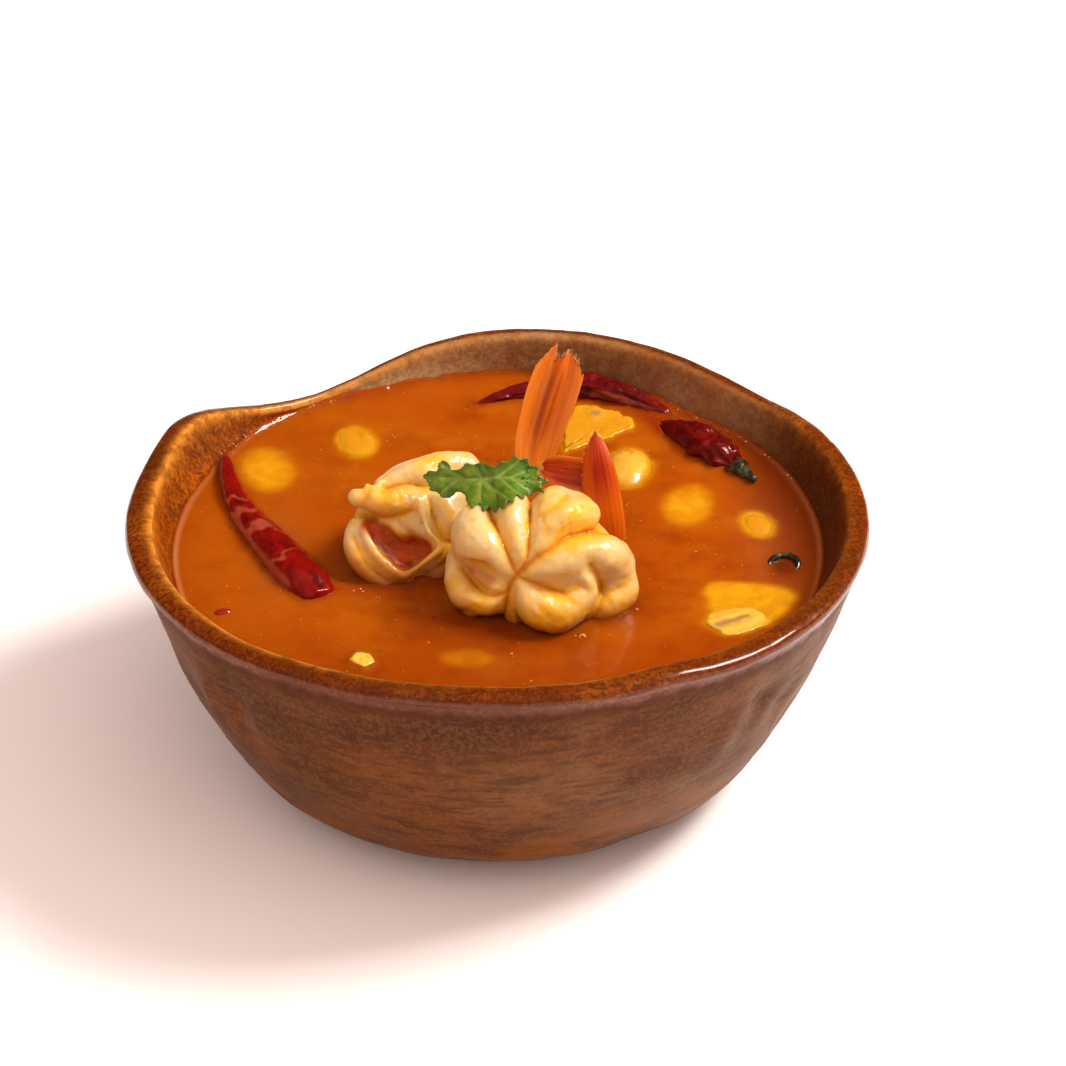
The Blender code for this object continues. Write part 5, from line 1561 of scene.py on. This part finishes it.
# How far out the leaf is dropped from, and how far in it could fall where there is no meat below it.
DRAPE_START, DRAPE_END = 60.0, -30.0
LEAF_EDGE = (
    (-13.4, 1.9), (-12.0, 3.1), (-10.4, 3.0), (-10.1, 4.3), (-9.2, 5.2), (-8.0, 4.7), (-7.2, 3.3),
    (-5.5, 3.4), (-4.3, 4.6), (-2.6, 4.3), (-0.8, 4.9), (0.4, 4.2), (2.1, 3.9), (3.0, 5.0), (4.4, 4.9),
    (6.0, 6.0), (7.4, 5.2), (8.7, 5.5), (9.1, 4.1), (10.8, 3.6), (10.9, 2.0), (13.0, 0.5), (11.2, -0.3),
    (12.1, -1.8), (10.2, -1.4), (9.4, -2.4), (8.3, -1.9), (7.6, -3.0), (6.2, -2.1), (5.6, -3.9),
    (4.4, -3.4), (3.6, -5.2), (2.4, -4.6), (1.7, -6.0), (0.7, -4.6), (-0.6, -5.5), (-1.5, -3.9),
    (-3.0, -4.8), (-4.2, -3.4), (-4.6, -2.0), (-6.2, -1.4), (-7.6, -2.6), (-9.4, -2.5), (-10.4, -1.4),
    (-11.8, -1.1), (-12.2, 0.4),
)
# Small nicks between the teeth, one for each of the four points that follow a point of the outline.
LEAF_NICKS = (0.0, 0.16, -0.10, 0.12)
# Veins: lines from where the stalk joined, out to the lobes, each with its side branches.
LEAF_VEINS = (
    ((-1.0, 1.2), (-4.0, 1.2), (-8.0, 1.5), (-12.8, 1.7)),
    ((-5.0, 1.3), (-7.2, 2.9), (-8.9, 4.5)),
    ((-6.0, 1.2), (-8.2, -0.4), (-9.6, -1.8)),
    ((-1.0, 1.2), (-1.6, 2.8), (-2.4, 4.0)),
    ((-1.0, 1.2), (-1.4, -1.6), (-1.0, -4.8)),
    ((-1.0, 1.2), (1.6, -1.4), (2.0, -5.2)),
    ((0.8, -0.6), (3.4, -2.2), (4.8, -3.4)),
    ((-1.0, 1.2), (3.4, 1.6), (8.0, 0.8), (12.2, 0.4)),
    ((2.2, 1.5), (4.8, 3.4), (7.0, 5.2)),
    ((5.2, 1.4), (7.8, 2.6), (10.2, 3.2)),
    ((5.6, 1.2), (8.2, -0.8), (10.8, -1.5)),
    ((3.0, 1.5), (5.0, -0.6), (7.4, -2.4)),
)
VEIN_STEPS = 50


def inside_outline(outline, spots):
    """Which spots lie within a closed outline."""
    x, y = spots.T
    found = np.zeros(len(spots), bool)
    for (x1, y1), (x2, y2) in zip(outline, np.roll(outline, -1, axis=0)):
        if y1 != y2:
            found ^= ((y1 > y) != (y2 > y)) & (x < (x2 - x1) * (y - y1) / (y2 - y1) + x1)
    return found


def gap_to(spots, line):
    """Distance from each spot to each point of a line."""
    return np.linalg.norm(spots[:, None] - line[None], axis=-1)


outline = smooth_line([*LEAF_EDGE, LEAF_EDGE[0]], 4 * len(LEAF_EDGE) + 1)[:-1]
border = len(outline)
outline += np.resize(LEAF_NICKS, border)[:, None] * (outline - outline.mean(axis=0)) / 9
low, high = outline.min(axis=0), outline.max(axis=0)
spread = [np.arange(start, end, LEAF_GRAIN) for start, end in zip(low, high)]
inner = np.stack(np.meshgrid(*spread, indexing="ij"), axis=-1)
inner[:, ::2, 0] += LEAF_GRAIN / 2
inner = inner.reshape(-1, 2)
inner = inner[inside_outline(outline, inner) & (gap_to(inner, outline).min(axis=1) > 0.6 * LEAF_GRAIN)]
borders = [(k, (k + 1) % border) for k in range(border)]
spots = [Vector(spot) for spot in np.concatenate([outline, inner])]
spots, _, triangles, *_ = delaunay_2d_cdt(spots, borders, [list(range(border))], 1, 1e-6)
flat = np.array([(spot.x, spot.y) for spot in spots])
triangles = np.array([list(face) for face in triangles if len(face) == 3])

away = leaning((0, 0, 0), [(0, 0, 1)])[0]
resting = np.full(len(flat), DRAPE_END)
for k, source in enumerate(leaning(LEAF_PLACE, np.c_[flat, np.full(len(flat), DRAPE_START)]).tolist()):
    place, _, _, far = meat_skin.ray_cast(source, (-away).tolist())
    if place is not None:
        resting[k] = DRAPE_START - far + LEAF_LIFT
sides = np.sort(np.concatenate([triangles[:, [0, 1]], triangles[:, [1, 2]], triangles[:, [2, 0]]]), axis=1)
pairs, uses = np.unique(sides, axis=0, return_counts=True)
rim = pairs[uses == 1]
beside = np.bincount(pairs.ravel(), minlength=len(flat))


def mean_beside(out):
    """Mean height of the neighbours of each point."""
    first, second = pairs.T
    return (np.bincount(first, out[second], len(flat)) + np.bincount(second, out[first], len(flat))) / beside


out = np.full(len(flat), resting.max())
for _ in range(DRAPE_ROUNDS):
    out = np.maximum(resting, mean_beside(out) - DRAPE_SAG)
for _ in range(SMOOTHING_ROUNDS):
    out = np.maximum(resting, 0.5 * out + 0.5 * mean_beside(out))
off_vein, along_vein = np.full(len(flat), np.inf), np.zeros(len(flat))
for line in LEAF_VEINS:
    gap = gap_to(flat, smooth_line(line, VEIN_STEPS))
    closer = gap.min(axis=1) < off_vein
    along_vein[closer] = gap.argmin(axis=1)[closer] / (VEIN_STEPS - 1)
    off_vein = np.minimum(off_vein, gap.min(axis=1))
spots = np.c_[flat, 0 * off_vein]
puffed = 0.32 * ease(0, 1.0, off_vein) + 0.30 * unevenness(spots, 2.6, 2, seed=5)
curl = 0.5 * unevenness(spots, 5.5, 2, seed=11)
leaf_top = leaning(LEAF_PLACE, np.c_[flat, np.maximum(resting, out + puffed + np.maximum(curl, 0))])
faces = [*triangles.tolist(), *(triangles[:, ::-1] + len(flat)).tolist()]
faces += [(b, a, a + len(flat), b + len(flat)) for a, b in rim.tolist()]
leaf = new_piece("coriander_leaf_blade", np.concatenate([leaf_top, leaf_top - away * LEAF_THICKNESS]), faces)
edit_mesh(leaf)
to_rim = gap_to(flat, outline).min(axis=1)
vein = hump(off_vein, 0.30 - 0.18 * along_vein)
paint(leaf, vein=np.tile(vein, 2), inland=np.tile(ease(0.0, 1.2, to_rim), 2))

LEAF_GREEN = (0.105, 0.200, 0.012)
LEAF_DARK = (0.045, 0.115, 0.005)
LEAF_SHEEN = (0.270, 0.340, 0.090)
LEAF_OLIVE = (0.170, 0.220, 0.016)
coriander = Finish(
    "coriander", IOR=1.42, Coat_Weight=0.15, Coat_Roughness=0.2,
    Subsurface_Weight=0.25, Subsurface_Radius=(0.5, 1.0, 0.1), Subsurface_Scale=0.0006,
)
mottled = coriander.patches(420, 4, 0.40, 0.66)
coriander.complete(
    layered(
        LEAF_GREEN,
        (coriander.patches(130, 3, 0.42, 0.62), LEAF_OLIVE),
        (mottled * 0.55, LEAF_DARK),
        (coriander.painted("vein") * 0.75, LEAF_SHEEN),
        ((1.0 - coriander.painted("inland")) * 0.45, LEAF_DARK),
    ),
    roughness=mottled * 0.16 + 0.42,
    relief=(coriander.noise(1500, 3), 0.35, 0.0003),
)
coriander.cover(leaf)
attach(leaf, "root")
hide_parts("coriander_leaf")


# What floats between ---------------------------------------------------------------------------------------
# Crumbs of mushroom, flakes of dried chilli, one cut ring of stalk, pulp and spice, small froth bubbles
# along the wall, and drops of water on the leaf. Most are one low bead, set out by node groups.

CRUMB_HEIGHT, CRUMB_SINK = 0.45, 0.05
# Crumbs and flakes just under the surface: kind, place, half-sizes and turn.
CRUMBS = (
    ("chilli_flake", (-57.7, -24.1), (1.9, 1.0), 20), ("mushroom_crumb", (-53.4, -36.9), (1.1, 0.8), 0),
    ("mushroom_crumb", (-50.0, -40.2), (0.9, 0.9), 40), ("chilli_flake", (-13.5, -27.0), (0.5, 0.4), 10),
    ("chilli_flake", (38.6, -43.6), (0.7, 0.4), 30), ("chilli_flake", (42.0, -42.4), (0.5, 0.3), 80),
    ("mushroom_crumb", (-8.8, 26.0), (1.2, 0.8), 15), ("mushroom_crumb", (8.0, 44.5), (1.4, 0.7), 0),
)
RING_PLACE, RING_RADIUS, RING_TUBE = (61.0, -8.2, 49.25), 3.2, 0.5
RING_STEPS, RING_SIDES = 72, 20
# Froth along the wall: azimuths of its start and end, number of bubbles, how far inwards and how high.
WALL_FROTH = (
    (141, 153, 16, (-0.9, 0.8), (0.5, 2.6)), (122, 134, 26, (-0.1, 0.5), (0.5, 1.0)),
    (196, 240, 26, (0.0, 0.7), (0.6, 0.9)), (20, 60, 14, (0.0, 0.8), (0.5, 0.9)),
)
# Froth on the open broth: place and number of bubbles.
OPEN_FROTH = (((27.4, -24.9), 7), ((17.2, -34.0), 9), ((-30.0, -17.0), 4), ((20.5, 36.0), 4))
# Drops on the leaf: how far right of its middle they start, how many there are, and how they stand on it.
WET_END, DROP_COUNT, DROP_OFFSET = 7.8, 22, (0, -0.1, 0.12)

for number, (kind, place, sizes, turn) in enumerate(CRUMBS):
    ways, faces = ball_grid(14, 22)
    local = ways * (1 + 0.22 * unevenness(ways, 0.6, 2, 2.7 * number))[:, None] * (*sizes, CRUMB_HEIGHT)
    spots = turned(local, turn) + (*place, SOUP_LEVEL - CRUMB_SINK)
    crumb = new_piece("%s_%d" % (kind, number + 1), spots, faces)
    paint(crumb, film=0.25, ripe=1.0, furrow=0.0, crease=0.0, gills=0.0)
    is_chilli = kind == "chilli_flake"
    (pod_skin if is_chilli else mushroom_skin).cover(crumb)
    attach(crumb, "root")

# A ring cut from a stalk, dark, thick at the back and tilted so that it breaks the surface.
turn = np.repeat(2 * np.pi * np.arange(RING_STEPS) / RING_STEPS, RING_SIDES)
tube = np.tile(2 * np.pi * np.arange(RING_SIDES) / RING_SIDES, RING_STEPS)
thick = RING_TUBE * (1 + 0.5 * np.sin(turn) + 0.2 * np.sin(3 * turn + 1))
far = RING_RADIUS + thick * np.cos(tube) + 0.2 * np.sin(2 * turn)
points = on_circle(far, turn, thick * np.sin(tube) + 0.75 * np.sin(turn + 0.5))
points += 0.08 * unevenness(points, 0.9, 2, seed=4)[:, None]
index = np.arange(RING_STEPS * RING_SIDES).reshape(RING_STEPS, RING_SIDES).T
index = np.concatenate([index, index[:1]])
ring = new_piece("chilli_cut_ring", points + RING_PLACE, quad_faces(index, np.roll(index, -1, axis=1)))
stalk.cover(ring)
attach(ring, "root")


def bead_group(name, on_faces):
    """Node group that sets small flattened balls on a piece's faces at random, or on each of its points."""
    inputs = (
        ("Geometry", "Geometry", None), ("Density", "Float", 20000.0), ("Size", "Float", 0.0003),
        ("Spread", "Float", 0.5), ("Flatness", "Float", 0.4), ("Seed", "Int", 1),
        ("Material", "Material", None),
    )
    tree, given = new_tree(name, "GeometryNodeTree", inputs, ("Geometry", "Geometry"))
    seed, spread = given["Seed"], given["Spread"]
    if on_faces:
        inputs = {0: given["Geometry"], "Density": given["Density"], "Seed": seed}
        spots = node(tree, "GeometryNodeDistributePointsOnFaces", inputs)
    else:
        spots = node(tree, "GeometryNodeMeshToPoints", {0: given["Geometry"]})
    ball = node(tree, "GeometryNodeMeshUVSphere", {"Segments": 8, "Rings": 5, "Radius": given["Size"]})
    size, slant = (by_chance(1.0 - spread, 1.0 + spread, draw) for draw in (seed, seed + 7))
    shape = node(tree, "ShaderNodeCombineXYZ", {0: size, 1: size * slant, 2: size * given["Flatness"]})
    spin = node(tree, "ShaderNodeCombineXYZ", {2: by_chance(0.0, 6.28, seed + 3)})
    set_out(spots, ball, spin, shape, given["Material"])
    return tree


scattered = bead_group("Scattered flecks", on_faces=True)
beads = bead_group("Beads", on_faces=False)

PULP_COLOURS = ((0.420, 0.130, 0.006), (0.520, 0.210, 0.014))
SPICE_COLOURS = ((0.120, 0.025, 0.003), (0.210, 0.020, 0.003))
DROP_COLOURS = ((0.600, 0.240, 0.060), (0.780, 0.460, 0.200))
WATER_COLOURS = ((0.080, 0.150, 0.020), (0.180, 0.260, 0.060))


def bead_material(name, colours, roughness, coat):
    bead = Finish(name, Coat_Weight=coat, Coat_Roughness=0.03, IOR=1.45)
    tint = bead.patches(260, 2, 0.42, 0.58)
    bead.complete(layered(colours[0], (tint, colours[1])), tint * 0.1 + roughness, (tint, 0.05, 0.0001))
    return bead.material


pulp = bead_material("orange pulp", PULP_COLOURS, 0.4, 0.2)
spice = bead_material("ground spice", SPICE_COLOURS, 0.45, 0.2)
froth = bead_material("froth bubble", DROP_COLOURS, 0.12, 1.0)
water = bead_material("water drop", WATER_COLOURS, 0.06, 1.0)

open_water = (np.minimum(from_food, from_caps) > 0.5) & (from_wall > 1.0)
open_quads = surface_quads[open_water[surface_quads].all(axis=1)]
# Flecks on the open broth: how many to the square metre, their size in metres, and how flat they are.
FLECKS = {
    "broth_pulp_flecks": {"Material": pulp, "Density": 20000, "Size": 0.00018, "Flatness": 0.3, "Seed": 4},
    "broth_spice_flecks": {"Material": spice, "Density": 7000, "Size": 0.00017, "Flatness": 0.35, "Seed": 9},
}
for name, details in FLECKS.items():
    flecks = new_piece(name, surface, open_quads)
    grow(flecks, scattered, Spread=0.55, **details)
    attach(flecks, "root")

draw = random.Random(21)
froth_spots = []
for start, end, count, inwards, above in WALL_FROTH:
    picked = np.array([draw.uniform(start, end) for _ in range(count)])
    radius = inside_radius(picked) - np.array([draw.uniform(*inwards) for _ in range(count)])
    level = SOUP_LEVEL + np.array([draw.uniform(*above) for _ in range(count)])
    froth_spots.append(on_circle(radius, np.radians(picked), level))
for (x, y), count in OPEN_FROTH:
    around = [(x + draw.gauss(0, 0.9), y + draw.gauss(0, 0.35), SOUP_LEVEL + 0.1) for _ in range(count)]
    froth_spots.append(around)
bubbles = new_piece("froth_bubbles", np.concatenate(froth_spots))
grow(bubbles, beads, Size=0.00019, Spread=0.5, Flatness=0.75, Seed=5, Material=froth)
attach(bubbles, "root")

right_end = [k for k, spot in enumerate(points_of(leaf)[: len(flat)]) if spot[0] > LEAF_PLACE[0] + WET_END]
wet_spots = points_of(leaf)[draw.sample(right_end, DROP_COUNT)] + DROP_OFFSET
drops = new_piece("leaf_water_drops", wet_spots)
grow(drops, beads, Size=0.00024, Spread=0.5, Flatness=0.7, Seed=8, Material=water)
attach(drops, "root")


# Studio ----------------------------------------------------------------------------------------------------
# A white sweep under one broad soft light from the right and a little behind, with a warm fill in front.
# The lens looks down at the bowl from the front, as someone sitting at the table does.

LENS_HEIGHT = math.radians(34)
LENS_DISTANCE, LENS_LENGTH = 0.8, 125.36
AIM = Vector((0.0, 0.0, SOUP_LEVEL * MM))
AIM_ASIDE = (0.00761, 0.00269)
SWEEP_REACH = 4000
PAPER_COLOURS = ((0.95, 0.935, 0.925), (0.97, 0.955, 0.95))
FILL_COLOUR = (1.0, 0.80, 0.73)
FILL_DIM, FILL_BRIGHT, MIRRORED_FILL = 0.14, 1.10, 0.3


def place_facing(name, data, place, looked_at):
    """Put a light or a lens at a place, turned to face a spot."""
    made = bpy.data.objects.new(name, data)
    made.location = place
    made.rotation_euler = (looked_at - made.location).to_track_quat("-Z", "Y").to_euler()
    bpy.context.scene.collection.objects.link(made)
    return made


backwards = Vector((0, -math.cos(LENS_HEIGHT), math.sin(LENS_HEIGHT)))
upwards = Vector((0, math.sin(LENS_HEIGHT), math.cos(LENS_HEIGHT)))
lens = bpy.data.cameras.new("lens")
lens.lens = LENS_LENGTH
lens.sensor_width = 36
lens.clip_start = 0.01
looked_at = AIM + Vector((AIM_ASIDE[0], 0, 0)) + upwards * AIM_ASIDE[1]
bpy.context.scene.camera = place_facing("lens", lens, AIM + backwards * LENS_DISTANCE, looked_at)

key_light = bpy.data.lights.new("key_light", "AREA")
key_light.energy = 15.0
key_light.size = 0.42
key_light.color = (1.0, 0.97, 0.93)
place_facing("key_light", key_light, Vector((0.78, 0.18, 0.95)), AIM)

sweep_points = [(x * SWEEP_REACH, y * SWEEP_REACH, 0) for x, y in ((-1, -1), (1, -1), (1, 1), (-1, 1))]
sweep = new_piece("white_sweep", sweep_points, [(0, 1, 2, 3)], smooth=False)
paper = Finish("white paper", Roughness=0.9, Specular_IOR_Level=0.0)
paper.complete(layered(PAPER_COLOURS[0], (paper.noise(3.0), PAPER_COLOURS[1])))
paper.cover(sweep)

# The fill is brightest in front, dimmer in mirrored light, and plain white where the lens sees it.
world = bpy.data.worlds.new("studio")
world.use_nodes = True
tree = world.node_tree
seen = node(tree, "ShaderNodeLightPath", output="Is Camera Ray")
towards = node(tree, "ShaderNodeSeparateXYZ", {0: node(tree, "ShaderNodeTexCoord", output="Generated")})
front = between(towards.other("Z") * 0.9 - towards.other("Y"), -0.15, 0.75)
mirrored = 1.0 - seen.other("Is Glossy Ray") * (1 - MIRRORED_FILL)
strength = (front * (FILL_BRIGHT - FILL_DIM) + FILL_DIM) * mirrored * (1.0 - seen) + seen
background = tree.nodes["Background"].inputs
tree.links.new(layered(FILL_COLOUR, (seen, (1, 1, 1))).socket, background["Color"])
tree.links.new(strength.socket, background["Strength"])
bpy.context.scene.world = world
bpy.context.scene.view_settings.view_transform = "Standard"
bpy.context.scene.view_settings.look = "Medium High Contrast"
